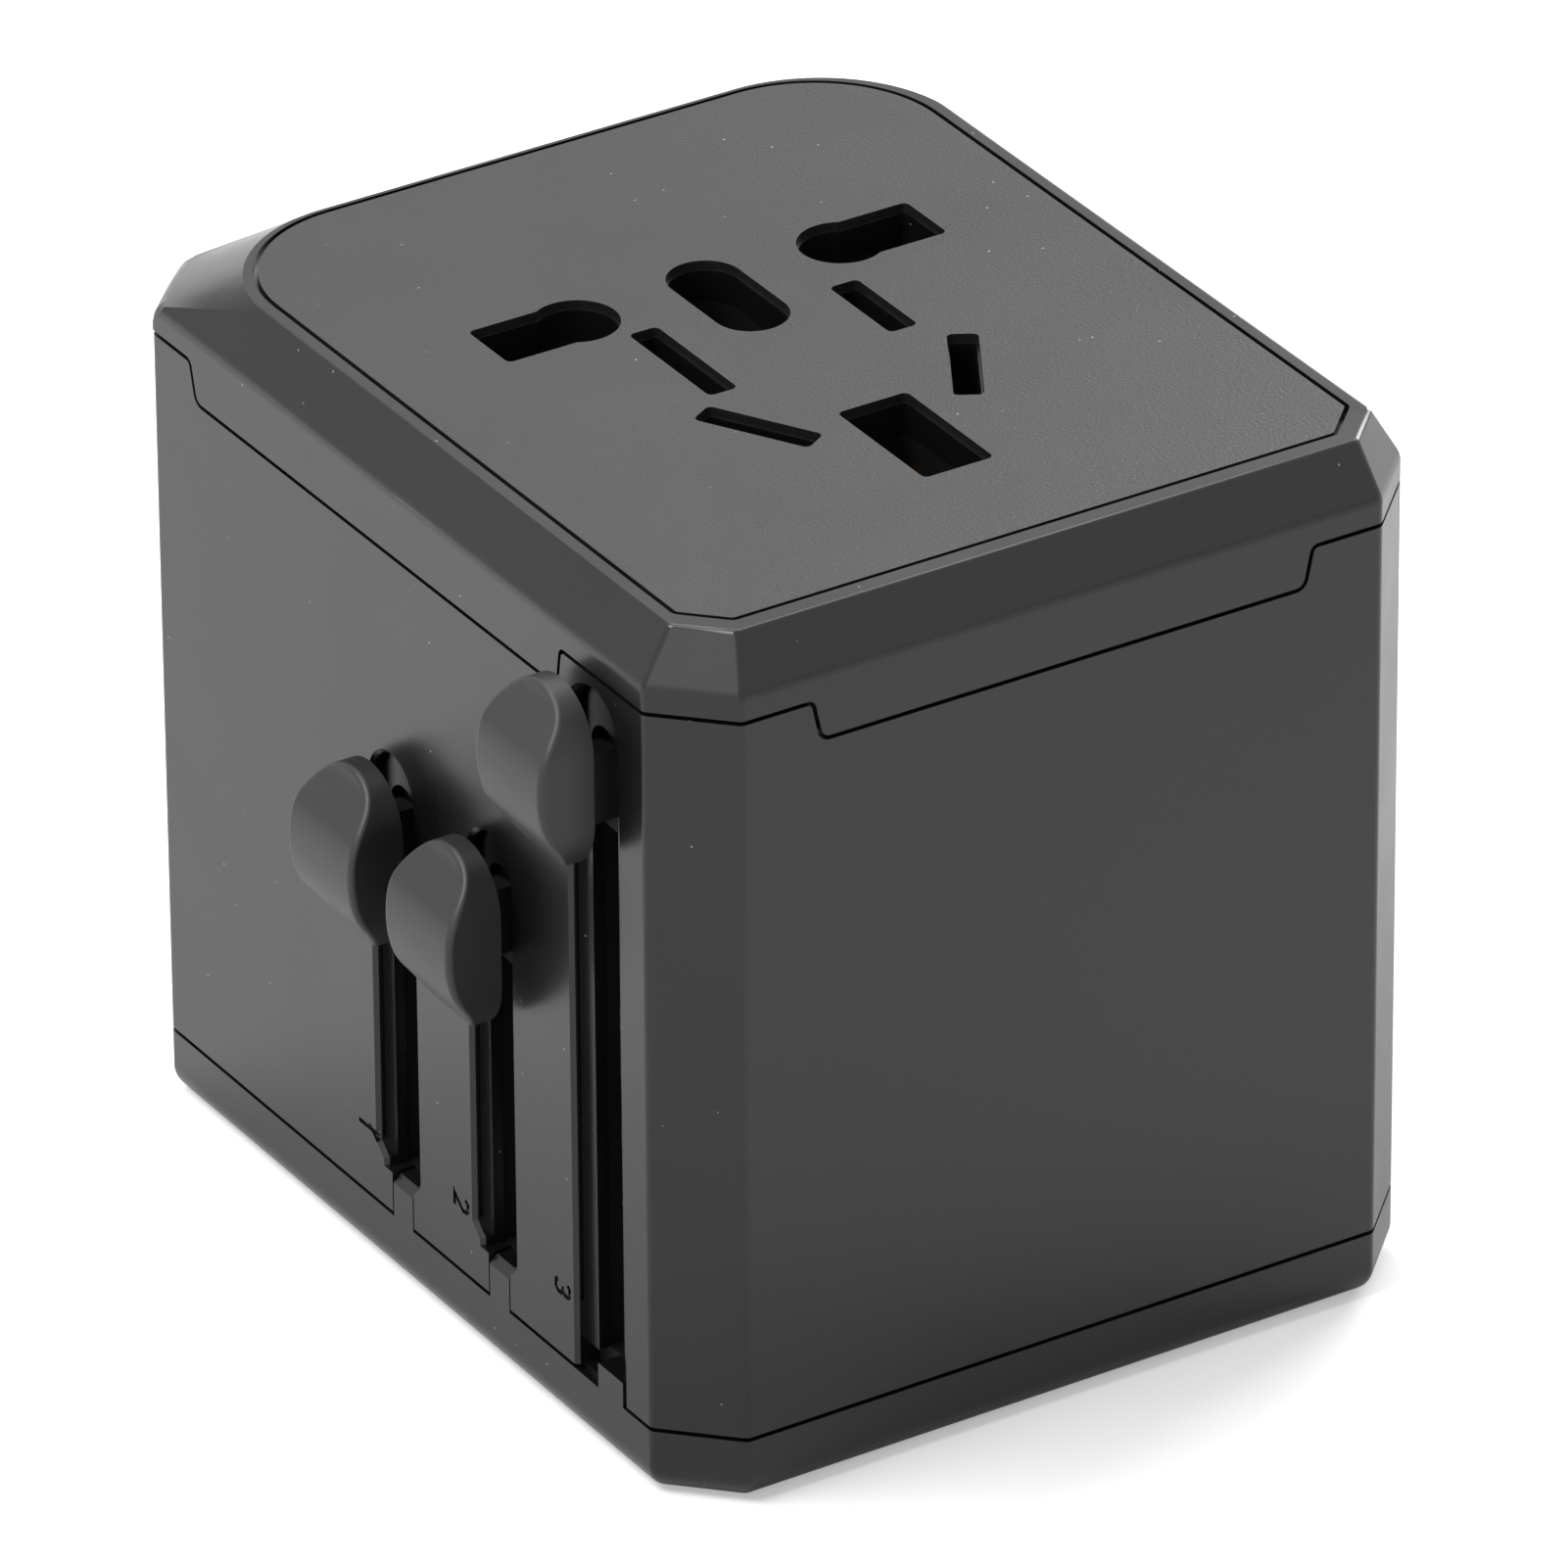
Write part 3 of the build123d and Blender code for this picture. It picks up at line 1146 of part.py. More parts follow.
# Thumb knobs, all of one shape
knob_profile_shares = [
    (0.0, 0.14),
    (0.08, 0.38),
    (0.17, 0.57),
    (0.27, 0.8),
    (0.37, 0.925),
    (0.47, 0.98),
    (0.56, 0.99),
    (0.65, 0.965),
    (0.74, 0.875),
    (0.81, 0.725),
    (0.87, 0.57),
    (0.92, 0.46),
    (1.0, 0.39),
]
knob_rows = [
    ("uk_knob", uk_slot_y, uk_slot_y, knob_level, stem_low, stem_high),
    ("us_knob", us_slot_y, us_slot_y, knob_level, stem_low, stem_high),
    ("eu_knob", eu_knob_y, eu_slot_y, eu_knob_level, eu_stem_low, eu_stem_high),
]
for name, centre_y, stem_y, level, low, high in knob_rows:
    with BuildPart() as knob:
        with BuildSketch(Plane.XZ.offset(-centre_y - knob_half_width)):
            with BuildLine():
                curve = []
                for height_share, depth_share in knob_profile_shares:
                    profile_x = knob_back_x - depth_share * knob_front_depth
                    curve.append((profile_x, level + height_share * knob_height))
                Spline(*curve)
                Line(curve[-1], (knob_back_x, level + knob_height))
                Line((knob_back_x, level + knob_height), (knob_back_x, level))
                Line((knob_back_x, level), curve[0])
            make_face()
        extrude(amount=2 * knob_half_width)
        with BuildSketch(Plane.YZ.offset(knob_back_x - 2 * knob_front_depth)):
            with Locations((centre_y, level + knob_height / 2)):
                SlotOverall(knob_height, 2 * knob_half_width, rotation=90)
        extrude(amount=4 * knob_front_depth, mode=Mode.INTERSECT)
        fillet(knob.edges().filter_by(GeomType.BSPLINE), radius=knob_edge)
        y_low = stem_y + neck_shift - neck_half_width
        y_high = stem_y + neck_shift + neck_half_width
        block(knob_back_x, stem_front_x, y_low, y_high, low + neck_inset, high - neck_inset)
        peg_middle = (stem_front_x + peg_length / 2, stem_y, (low + high) / 2)
        with Locations(Location(peg_middle, (0, 90, 0))):
            Cylinder(peg_radius, peg_length)
    knob.part.label = name
    export_step(knob.part, "parts/" + name + ".step")


def stem(row_y, low, high):
    """Stem in the narrow slot, less the running gap, with the hole of the knob's peg."""
    half = stem_half_width
    block(stem_front_x, shoe_front_x, row_y - half, row_y + half, low, high - half)
    with Locations(Location(((stem_front_x + shoe_front_x) / 2, row_y, high - half), (0, 90, 0))):
        Cylinder(half, shoe_front_x - stem_front_x)
    with Locations(Location((stem_front_x + peg_length / 2, row_y, (low + high) / 2), (0, 90, 0))):
        Cylinder(peg_radius, peg_length, mode=Mode.SUBTRACT)


# Carriage and pins of the british plug
with BuildPart() as uk_carriage:
    stem(uk_slot_y, stem_low, stem_high)
    block(
        shoe_front_x, shoe_back_x, uk_slot_y - shoe_half_width,
        uk_slot_y + shoe_half_width, shoe_low, shoe_high,
    )
    arm_low_y = uk_slot_y - uk_arm_half_width
    arm_high_y = uk_slot_y + uk_arm_half_width
    block(shoe_back_x, -uk_bar_half_length, arm_low_y, arm_high_y, uk_bar_level, shoe_high)
    bar_top = uk_bar_level + uk_bar_height
    bar_low_y = uk_slot_y - uk_bar_half_width
    bar_high_y = uk_slot_y + uk_bar_half_width
    block(-uk_bar_half_length, uk_bar_half_length, bar_low_y, bar_high_y, uk_bar_level, bar_top)
    block(-uk_spine_half_width, uk_spine_half_width, bar_high_y, uk_spine_rear, uk_bar_level, bar_top)
    for side in (-1, 1):
        centre = side * uk_pin_x
        half_w = uk_pin_width / 2
        half_t = uk_pin_thickness / 2
        seat_top = uk_bar_level + uk_pin_seat
        low_y = uk_slot_y - half_t
        high_y = uk_slot_y + half_t
        block(centre - half_w, centre + half_w, low_y, high_y, uk_bar_level, seat_top, Mode.SUBTRACT)
    half_l = uk_earth_length / 2
    block(-half_t, half_t, uk_earth_y - half_l, uk_earth_y + half_l, uk_bar_level, seat_top, Mode.SUBTRACT)
    core = uk_strap_half_width
    block(-core, core, uk_earth_y - core, uk_earth_y + core, seat_top, bar_top, Mode.SUBTRACT)
uk_carriage.part.label = "uk_carriage"
export_step(uk_carriage.part, "parts/uk_carriage.step")

pin_names = {-1: "uk_neutral_pin", 1: "uk_line_pin"}
for side in (-1, 1):
    with BuildPart() as uk_pin:
        centre = side * uk_pin_x
        half_w = uk_pin_width / 2
        half_t = uk_pin_thickness / 2
        block(centre - half_w, centre + half_w, uk_slot_y - half_t, uk_slot_y + half_t, pin_tip, seat_top)
        chamfer(uk_pin.edges().group_by(Axis.Z)[0], length=uk_pin_edge)
    uk_pin.part.label = pin_names[side]
    export_step(uk_pin.part, "parts/" + pin_names[side] + ".step")

with BuildPart() as uk_earth_pin:
    block(-half_t, half_t, uk_earth_y - half_l, uk_earth_y + half_l, uk_earth_tip, seat_top)
    chamfer(uk_earth_pin.edges().group_by(Axis.Z)[0], length=uk_pin_edge)
    block(-core, core, uk_earth_y - core, uk_earth_y + core, seat_top, bar_top)
uk_earth_pin.part.label = "uk_earth_pin"
export_step(uk_earth_pin.part, "parts/uk_earth_pin.step")

with BuildPart() as uk_earth_strap:
    block(-core, core, uk_strap_front, uk_earth_y + core, bar_top, bar_top + uk_strap_thickness)
uk_earth_strap.part.label = "uk_earth_strap"
export_step(uk_earth_strap.part, "parts/uk_earth_strap.step")

# Carriage and turning blades of the american and australian plug
us_bar_top = us_bar_level + us_bar_height
shank_top = us_bar_level + us_shank_length - slide_gap
with BuildPart() as us_carriage:
    stem(us_slot_y, stem_low, stem_high)
    block(
        shoe_front_x, shoe_back_x, us_slot_y - shoe_half_width,
        us_slot_y + shoe_half_width, shoe_low, shoe_high,
    )
    arm_low_y = us_slot_y - us_arm_half_width
    arm_high_y = us_slot_y + us_arm_half_width
    block(shoe_back_x, -us_bar_half_length, arm_low_y, arm_high_y, us_bar_level, shoe_high)
    bar_low_y = us_slot_y - us_bar_half_width
    bar_high_y = us_slot_y + us_bar_half_width
    block(-us_bar_half_length, us_bar_half_length, bar_low_y, bar_high_y, us_bar_level, us_bar_top)
    for side in (-1, 1):
        rod(
            side * us_blade_x, us_slot_y, us_bar_level, us_bar_top,
            us_shank_radius + fit_gap, mode=Mode.SUBTRACT,
        )
        rod(
            side * us_blade_x, us_slot_y, shank_top - fit_gap, us_bar_top,
            us_head_radius + fit_gap, mode=Mode.SUBTRACT,
        )
us_carriage.part.label = "us_carriage"
export_step(us_carriage.part, "parts/us_carriage.step")

disc_top = us_bar_level - slide_gap
disc_low = disc_top - us_disc_thickness
blade_names = {-1: "us_left_blade", 1: "us_right_blade"}
for side in (-1, 1):
    with BuildPart() as us_blade:
        centre = side * us_blade_x
        half_t = us_blade_thickness / 2
        half_w = us_blade_width / 2
        block(centre - half_t, centre + half_t, us_slot_y - half_w, us_slot_y + half_w, pin_tip, disc_low)
        chamfer(us_blade.edges().group_by(Axis.Z)[0], length=us_tip_chamfer)
        rod(centre, us_slot_y, disc_low, disc_top, us_disc_radius)
        rod(centre, us_slot_y, disc_top, shank_top, us_shank_radius)
        rod(centre, us_slot_y, shank_top, shank_top + us_head_thickness, us_head_radius)
    us_blade.part.label = blade_names[side]
    export_step(us_blade.part, "parts/" + blade_names[side] + ".step")

# Plug block and pins of the european plug
with BuildPart() as eu_plug:
    with BuildSketch(Plane.XY.offset(eu_block_level)):
        add(plug_outline.sketch)
    extrude(amount=eu_block_top - eu_block_level)
    notch_rear = eu_slot_y + eu_block_half_width
    notch_front = notch_rear - eu_notch_depth
    block(
        -eu_notch_half_width, eu_notch_half_width, notch_front, notch_rear,
        eu_notch_level, eu_block_top, Mode.SUBTRACT,
    )
    arm_low_y = eu_slot_y - eu_arm_half_width
    arm_high_y = eu_slot_y + eu_arm_half_width
    block(shoe_back_x, -eu_block_half_length, arm_low_y, arm_high_y, eu_arm_low, eu_block_top)
    block(shoe_back_x, shoe_back_x + eu_arm_depth, arm_low_y, arm_high_y, eu_arm_low, eu_shoe_high)
    shoe_low_y = eu_slot_y - eu_shoe_front
    shoe_high_y = eu_slot_y + shoe_half_width
    block(shoe_front_x, shoe_back_x, shoe_low_y, shoe_high_y, eu_shoe_low, eu_shoe_high)
    stem(eu_slot_y, eu_stem_low, eu_stem_high)
    for side in (-1, 1):
        seat_high = eu_block_level + eu_pin_seat
        rod(side * eu_pin_x, eu_slot_y, eu_block_level, seat_high, eu_pin_core, mode=Mode.SUBTRACT)
eu_plug.part.label = "eu_plug"
export_step(eu_plug.part, "parts/eu_plug.step")

eu_tip = eu_block_level - eu_pin_length
eu_names = {-1: "eu_left_pin", 1: "eu_right_pin"}
sleeve_low = eu_block_level - eu_sleeve_length
for side in (-1, 1):
    with BuildPart() as eu_pin:
        rod(side * eu_pin_x, eu_slot_y, eu_tip, sleeve_low, eu_pin_radius)
        fillet(eu_pin.edges().group_by(Axis.Z)[0], radius=eu_pin_radius / 2)
        rod(side * eu_pin_x, eu_slot_y, sleeve_low, eu_block_level + eu_pin_seat, eu_pin_core)
    eu_pin.part.label = eu_names[side]
    export_step(eu_pin.part, "parts/" + eu_names[side] + ".step")

with BuildPart() as eu_pin_sleeves:
    for side in (-1, 1):
        rod(side * eu_pin_x, eu_slot_y, sleeve_low, eu_block_level, eu_pin_radius)
        rod(side * eu_pin_x, eu_slot_y, sleeve_low, eu_block_level, eu_pin_core, mode=Mode.SUBTRACT)
eu_pin_sleeves.part.label = "eu_pin_sleeves"
export_step(eu_pin_sleeves.part, "parts/eu_pin_sleeves.step")
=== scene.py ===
# %% [markdown]
# # Universal travel adapter
# A black block takes several kinds of plug in its top face and pushes out one of three plugs below.
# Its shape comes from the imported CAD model, so this notebook is about finishes, light and the camera.
# The few small pieces that the CAD leaves out, such as the charging contacts, are worked out with numpy.

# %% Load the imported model
import math

import bpy
import numpy as np
from mathutils import Matrix, Vector


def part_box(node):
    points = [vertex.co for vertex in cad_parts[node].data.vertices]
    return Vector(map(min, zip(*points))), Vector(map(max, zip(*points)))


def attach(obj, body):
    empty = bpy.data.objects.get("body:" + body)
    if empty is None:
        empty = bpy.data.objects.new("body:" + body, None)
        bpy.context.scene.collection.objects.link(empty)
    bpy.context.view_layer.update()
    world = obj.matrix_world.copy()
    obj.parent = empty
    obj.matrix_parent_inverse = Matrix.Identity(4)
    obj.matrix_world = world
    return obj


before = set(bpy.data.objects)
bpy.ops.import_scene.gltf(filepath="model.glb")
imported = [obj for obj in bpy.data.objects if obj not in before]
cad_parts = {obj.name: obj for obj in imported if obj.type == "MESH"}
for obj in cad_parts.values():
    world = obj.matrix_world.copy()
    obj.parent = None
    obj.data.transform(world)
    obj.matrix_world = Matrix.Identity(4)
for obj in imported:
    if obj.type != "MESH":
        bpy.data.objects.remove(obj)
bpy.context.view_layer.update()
millimetre = 0.001

# %% [markdown]
# ## A finish from a few nodes
# Moulded plastic is never one flat colour: the mould's texture scatters light, and the tone drifts a little.
# A picture could be wrapped around it, but noise worked out from the object's own coordinates needs no
# unwrapping and stays sharp at any distance, so every finish here starts from such noise.

# %% Helpers for materials
def node_adder(tree):
    """Function that adds a node to the tree, sets its values and links its inputs."""
    def add(kind, inputs=None, **settings):
        node = tree.nodes.new(kind)
        for key, value in settings.items():
            setattr(node, key, value)
        for key, value in (inputs or {}).items():
            if isinstance(value, bpy.types.NodeSocket):
                tree.links.new(value, node.inputs[key])
            else:
                node.inputs[key].default_value = value
        return node

    return add


def new_material(name):
    """New node material with its tree, its shader and the function that adds nodes to it."""
    material = bpy.data.materials.new(name)
    material.use_nodes = True
    tree = material.node_tree
    return material, tree, tree.nodes["Principled BSDF"], node_adder(tree)


def noise(add, grain, detail=2.0, stretch=(1, 1, 1)):
    """Noise whose bumps are about one grain wide, in metres, stretched along the axes."""
    place = add("ShaderNodeTexCoord")
    turn = add("ShaderNodeMapping", {"Vector": place.outputs["Object"], "Scale": stretch})
    return add("ShaderNodeTexNoise", {"Vector": turn.outputs["Vector"], "Scale": 1 / grain, "Detail": detail})


def spread(add, source, low, high, start=0.3, end=0.7):
    """Turns a noise value between start and end into a value between low and high."""
    return add(
        "ShaderNodeMapRange",
        {"Value": source, "From Min": start, "From Max": end, "To Min": low, "To Max": high},
    ).outputs["Result"]


def grey(level, tint=(1.0, 1.0, 1.0)):
    """Colour of one grey level, tinted."""
    return (level * tint[0], level * tint[1], level * tint[2], 1.0)


def blend(add, factor, first, second):
    """Colour between two colours. A Mix node takes colours at inputs 6 and 7 and gives one at output 2."""
    return add("ShaderNodeMix", {"Factor": factor, 6: first, 7: second}, data_type="RGBA").outputs[2]


print("material helpers ready")

# %% [markdown]
# ## Moulded black plastic
# The case looks like black plastic from a lightly blasted mould: nearly black by itself, with a soft gloss
# in which pale surroundings show as broad dim reflections. Most of the grey that the camera sees on it is
# such reflections. One maker serves the case, the face plate, the knobs and the inner mouldings. The plate
# has a coarser grain than the case and the knobs a finer one, and both are rougher. How much light a piece
# mirrors is a value of its own, because it sets how grey the black looks. A few specks of dust finish it.

# %% Plastic maker
tone_patch = 9 * millimetre
rough_drift = (-0.02, 0.03)
dust_spacing = 1.2 * millimetre
dust_reach = (0.045, 0.065)
dust_rarity = (0.72, 0.74)


def plastic(name, level, rough, grain, depth, drift=0.12, tint=(1.0, 1.0, 1.0), dust=0.0, mirror=0.5):
    """Plastic with a grain of the given width and depth, in metres, and a slow drift of tone.

    Dust is the grey level of pale specks. In each cell of a Voronoi pattern the distance from the cell's
    point makes a dot, and the cell's random colour decides whether that dot is shown.
    """
    material, tree, shader, add = new_material(name)
    fine = noise(add, grain, detail=3.0)
    slow = noise(add, tone_patch)
    mottle = spread(add, slow.outputs["Fac"], 0.0, 1.0)
    colour = blend(add, mottle, grey(level * (1 - drift), tint), grey(level * (1 + drift), tint))
    if dust:
        place = add("ShaderNodeTexCoord")
        cells = add("ShaderNodeTexVoronoi", {"Vector": place.outputs["Object"], "Scale": 1 / dust_spacing})
        speck = spread(add, cells.outputs["Distance"], 1.0, 0.0, *dust_reach)
        rare = spread(add, cells.outputs["Color"], 0.0, 1.0, *dust_rarity)
        share = add("ShaderNodeMath", {0: speck, 1: rare}, operation="MULTIPLY").outputs[0]
        colour = blend(add, share, colour, grey(dust))
    tree.links.new(colour, shader.inputs["Base Color"])
    roughness = spread(add, slow.outputs["Fac"], rough + rough_drift[0], rough + rough_drift[1])
    tree.links.new(roughness, shader.inputs["Roughness"])
    shader.inputs["Specular IOR Level"].default_value = mirror
    bump = add("ShaderNodeBump", {"Height": fine.outputs["Fac"], "Distance": depth, "Strength": 1.0})
    tree.links.new(bump.outputs["Normal"], shader.inputs["Normal"])
    return material


case_plastic = plastic(
    "case_plastic", level=0.005, rough=0.28, grain=0.16 * millimetre, depth=0.0012 * millimetre, dust=0.3,
)
plate_plastic = plastic(
    "plate_plastic", level=0.009, rough=0.4, grain=0.2 * millimetre, depth=0.03 * millimetre,
    dust=0.35, mirror=0.42,
)
knob_plastic = plastic(
    "knob_plastic", level=0.012, rough=0.46, grain=0.12 * millimetre, depth=0.003 * millimetre, mirror=0.58,
)
inner_plastic = plastic(
    "inner_plastic", level=0.005, rough=0.6, grain=0.3 * millimetre, depth=0.004 * millimetre, mirror=0.2,
)
insulator_plastic = plastic(
    "insulator_plastic", level=0.75, rough=0.4, grain=0.2 * millimetre, depth=0.003 * millimetre,
    drift=0.04, tint=(1.0, 0.98, 0.93),
)
chip_plastic = plastic(
    "chip_plastic", level=0.03, rough=0.6, grain=0.1 * millimetre, depth=0.006 * millimetre,
)
ferrite_grey = plastic(
    "ferrite_grey", level=0.06, rough=0.7, grain=0.25 * millimetre, depth=0.02 * millimetre, drift=0.25,
)
print("plastics:", len([m for m in bpy.data.materials if "plastic" in m.name]))

# %% [markdown]
# ## Metals
# Contacts are rolled brass strip, pins are nickel-plated brass and the screws and shells are steel.
# Rolling and polishing leave hair lines, so the noise is stretched along one axis, and it moves the
# roughness more than the colour, as on real metal.

# %% Metal maker
hair_width = 0.15 * millimetre
hair_depth = 0.001 * millimetre
hair_rough = (-0.06, 0.08)
stain_width = 4 * millimetre
lines_along_x = (0.05, 1, 1)
lines_along_y = (1, 0.05, 1)
lines_along_z = (1, 1, 0.05)
no_lines = (1, 1, 1)


def metal(name, colour, rough, lines, stains=0.08):
    """Metal with hair lines along the axis whose share in lines is small, and slightly darker stains."""
    material, tree, shader, add = new_material(name)
    hair = noise(add, hair_width, stretch=lines)
    slow = noise(add, stain_width)
    darker = tuple(c * (1 - stains) for c in colour) + (1.0,)
    tint = blend(add, spread(add, slow.outputs["Fac"], 0.0, 1.0), darker, tuple(colour) + (1.0,))
    tree.links.new(tint, shader.inputs["Base Color"])
    shader.inputs["Metallic"].default_value = 1.0
    roughness = spread(add, hair.outputs["Fac"], rough + hair_rough[0], rough + hair_rough[1])
    tree.links.new(roughness, shader.inputs["Roughness"])
    bump = add("ShaderNodeBump", {"Height": hair.outputs["Fac"], "Distance": hair_depth})
    tree.links.new(bump.outputs["Normal"], shader.inputs["Normal"])
    return material


brass_strip = metal("brass_strip", (0.72, 0.47, 0.2), 0.3, lines_along_z, stains=0.2)
plated_brass = metal("plated_brass", (0.71, 0.69, 0.66), 0.22, lines_along_z)
sheet_steel = metal("sheet_steel", (0.62, 0.63, 0.65), 0.28, lines_along_x)
gold_flash = metal("gold_flash", (0.86, 0.62, 0.24), 0.2, lines_along_y)
solder_tin = metal("solder_tin", (0.66, 0.67, 0.69), 0.35, no_lines, stains=0.15)
print("metals: brass, plating, steel, gold and tin")

# %% [markdown]
# ## Circuit board
# The board is glass cloth under a green lacquer. Its copper lies in straight runs, which show through as
# paler bands. The joints of a brick pattern give such runs without drawing a single track.

# %% Board lacquer
track_unit = 12 * millimetre
track_share = 0.012
track_rise = 0.02 * millimetre
weave_width = 0.3 * millimetre


def board_lacquer():
    """Green lacquer with paler copper runs below it."""
    material, tree, shader, add = new_material("board_lacquer")
    place = add("ShaderNodeTexCoord")
    tracks = add(
        "ShaderNodeTexBrick",
        {
            "Vector": place.outputs["Object"],
            "Scale": 1 / track_unit,
            "Mortar Size": track_share,
            "Color1": (0.01, 0.09, 0.035, 1),
            "Color2": (0.012, 0.11, 0.04, 1),
            "Mortar": (0.03, 0.22, 0.08, 1),
        },
    )
    weave = noise(add, weave_width)
    tree.links.new(tracks.outputs["Color"], shader.inputs["Base Color"])
    tree.links.new(spread(add, weave.outputs["Fac"], 0.25, 0.4), shader.inputs["Roughness"])
    bump = add("ShaderNodeBump", {"Height": tracks.outputs["Fac"], "Distance": track_rise})
    tree.links.new(bump.outputs["Normal"], shader.inputs["Normal"])
    return material


green_board = board_lacquer()
print("board:", green_board.name)

# %% [markdown]
# ## Copper winding
# The transformer's coil is one plain block in the CAD, because a hundred turns of wire would only cost
# triangles inside a closed case. A wave along the coil's axis gives the turns as a bump, and its low end
# darkens the colour as painted shade in the gaps between the turns.

# %% Winding
wave_scale = 0.1 / (0.11 * millimetre)
turn_depth = 0.1 * millimetre


def wound_copper():
    """Enamelled turns of wire, one above the other, with painted shade in the gaps between them."""
    material, tree, shader, add = new_material("wound_copper")
    place = add("ShaderNodeTexCoord")
    turns = add(
        "ShaderNodeTexWave",
        {"Vector": place.outputs["Object"], "Scale": wave_scale, "Distortion": 0.4},
        bands_direction="Z", wave_profile="SIN",
    )
    # The dark colour at the wave's low end is painted shade in the gaps between the turns.
    colour = blend(add, turns.outputs["Fac"], (0.12, 0.03, 0.01, 1), (0.7, 0.27, 0.1, 1))
    tree.links.new(colour, shader.inputs["Base Color"])
    shader.inputs["Metallic"].default_value = 0.8
    tree.links.new(spread(add, turns.outputs["Fac"], 0.45, 0.25, 0, 1), shader.inputs["Roughness"])
    bump = add("ShaderNodeBump", {"Height": turns.outputs["Fac"], "Distance": turn_depth})
    tree.links.new(bump.outputs["Normal"], shader.inputs["Normal"])
    return material


copper_turns = wound_copper()
print("winding:", copper_turns.name)

# %% [markdown]
# ## Glass, lamp and capacitor sleeves
# The fuse is a clear glass tube. The lamp is a milky lens that spreads the light of a diode behind it.
# A capacitor is an aluminium can in a shrunk plastic sleeve with a pale stripe on the side of one lead,
# so one material mixes three tones by place: sleeve, stripe and the bare top.

# %% Clear and milky finishes
smear_width = 1.5 * millimetre
smear_rough = 0.05


def clear(name, colour, rough, pass_share):
    """Plastic or glass that lets light through, with faint smears."""
    material, tree, shader, add = new_material(name)
    smear = noise(add, smear_width)
    shader.inputs["Base Color"].default_value = colour
    shader.inputs["Transmission Weight"].default_value = pass_share
    tree.links.new(spread(add, smear.outputs["Fac"], rough, rough + smear_rough), shader.inputs["Roughness"])
    return material


fuse_glass = clear("fuse_glass", (0.97, 0.99, 0.98, 1), rough=0.02, pass_share=1.0)
lamp_milk = clear("lamp_milk", (0.75, 0.85, 0.95, 1), rough=0.25, pass_share=0.5)
print("clear:", fuse_glass.name, lamp_milk.name)

# %% Capacitor sleeve
stripe_width = 0.5 * millimetre
stripe_edge = 0.1 * millimetre
bare_height = 0.35 * millimetre
bare_edge = 0.05 * millimetre
sleeve_grain = 0.4 * millimetre


def can_sleeve():
    """Dark sleeve with a pale stripe towards -X and a bare aluminium top."""
    material, tree, shader, add = new_material("can_sleeve")
    low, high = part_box("filter_capacitors")
    place = add("ShaderNodeTexCoord")
    axes = add("ShaderNodeSeparateXYZ", {0: place.outputs["Object"]})
    stripe_x = low[0] + stripe_width
    stripe = spread(add, axes.outputs["X"], 1.0, 0.0, stripe_x, stripe_x + stripe_edge)
    bare_z = high[2] - bare_height
    bare = spread(add, axes.outputs["Z"], 0.0, 1.0, bare_z, bare_z + bare_edge)
    sleeve = blend(add, stripe, (0.012, 0.014, 0.04, 1), (0.5, 0.5, 0.55, 1))
    tree.links.new(blend(add, bare, sleeve, grey(0.6)), shader.inputs["Base Color"])
    tree.links.new(bare, shader.inputs["Metallic"])
    fine = noise(add, sleeve_grain)
    tree.links.new(spread(add, fine.outputs["Fac"], 0.28, 0.42), shader.inputs["Roughness"])
    return material


capacitor_sleeve = can_sleeve()
print("capacitors:", capacitor_sleeve.name)

# %% [markdown]
# ## Dress the CAD pieces
# Each CAD piece keeps its mesh and only gets a finish, so it still moves and collides as the CAD model does.

# %% Finish of each piece
finishes = {
    case_plastic: ["base", "body_shell", "top_cap"],
    plate_plastic: ["socket_plate"],
    knob_plastic: ["uk_knob", "us_knob", "eu_knob"],
    inner_plastic: ["contact_carrier", "slider_guide", "uk_carriage", "us_carriage", "eu_plug",
                    "eu_pin_sleeves"],
    brass_strip: ["line_contact", "neutral_contact", "earth_contact", "line_rail", "neutral_rail",
                  "earth_rail", "uk_earth_strap", "fuse_clips"],
    plated_brass: ["uk_line_pin", "uk_neutral_pin", "uk_earth_pin", "us_left_blade", "us_right_blade",
                   "eu_left_pin", "eu_right_pin", "fuse_caps"],
    sheet_steel: ["case_screws", "carrier_screws", "usb_shells"],
    green_board: ["converter_board"],
    ferrite_grey: ["transformer_core"],
    copper_turns: ["transformer_winding"],
    capacitor_sleeve: ["filter_capacitors"],
    chip_plastic: ["bridge_chip"],
    insulator_plastic: ["usb_tongues"],
    fuse_glass: ["fuse_tube"],
    lamp_milk: ["lamp_lens"],
}
dressed = 0
for material, names in finishes.items():
    for name in names:
        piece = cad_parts[name]
        for slot in piece.material_slots:
            slot.material = material
        if not piece.material_slots:
            piece.data.materials.append(material)
        dressed += 1
print("dressed:", dressed, "of", len(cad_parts))

# %% [markdown]
# ## Small pieces from rings of points
# Contacts, wires and solder are all closed skins: a row of rings, each ring with as many points as the
# next, and a point that closes either end. The rings are worked out as whole arrays, so one helper turns
# any such array into a mesh.

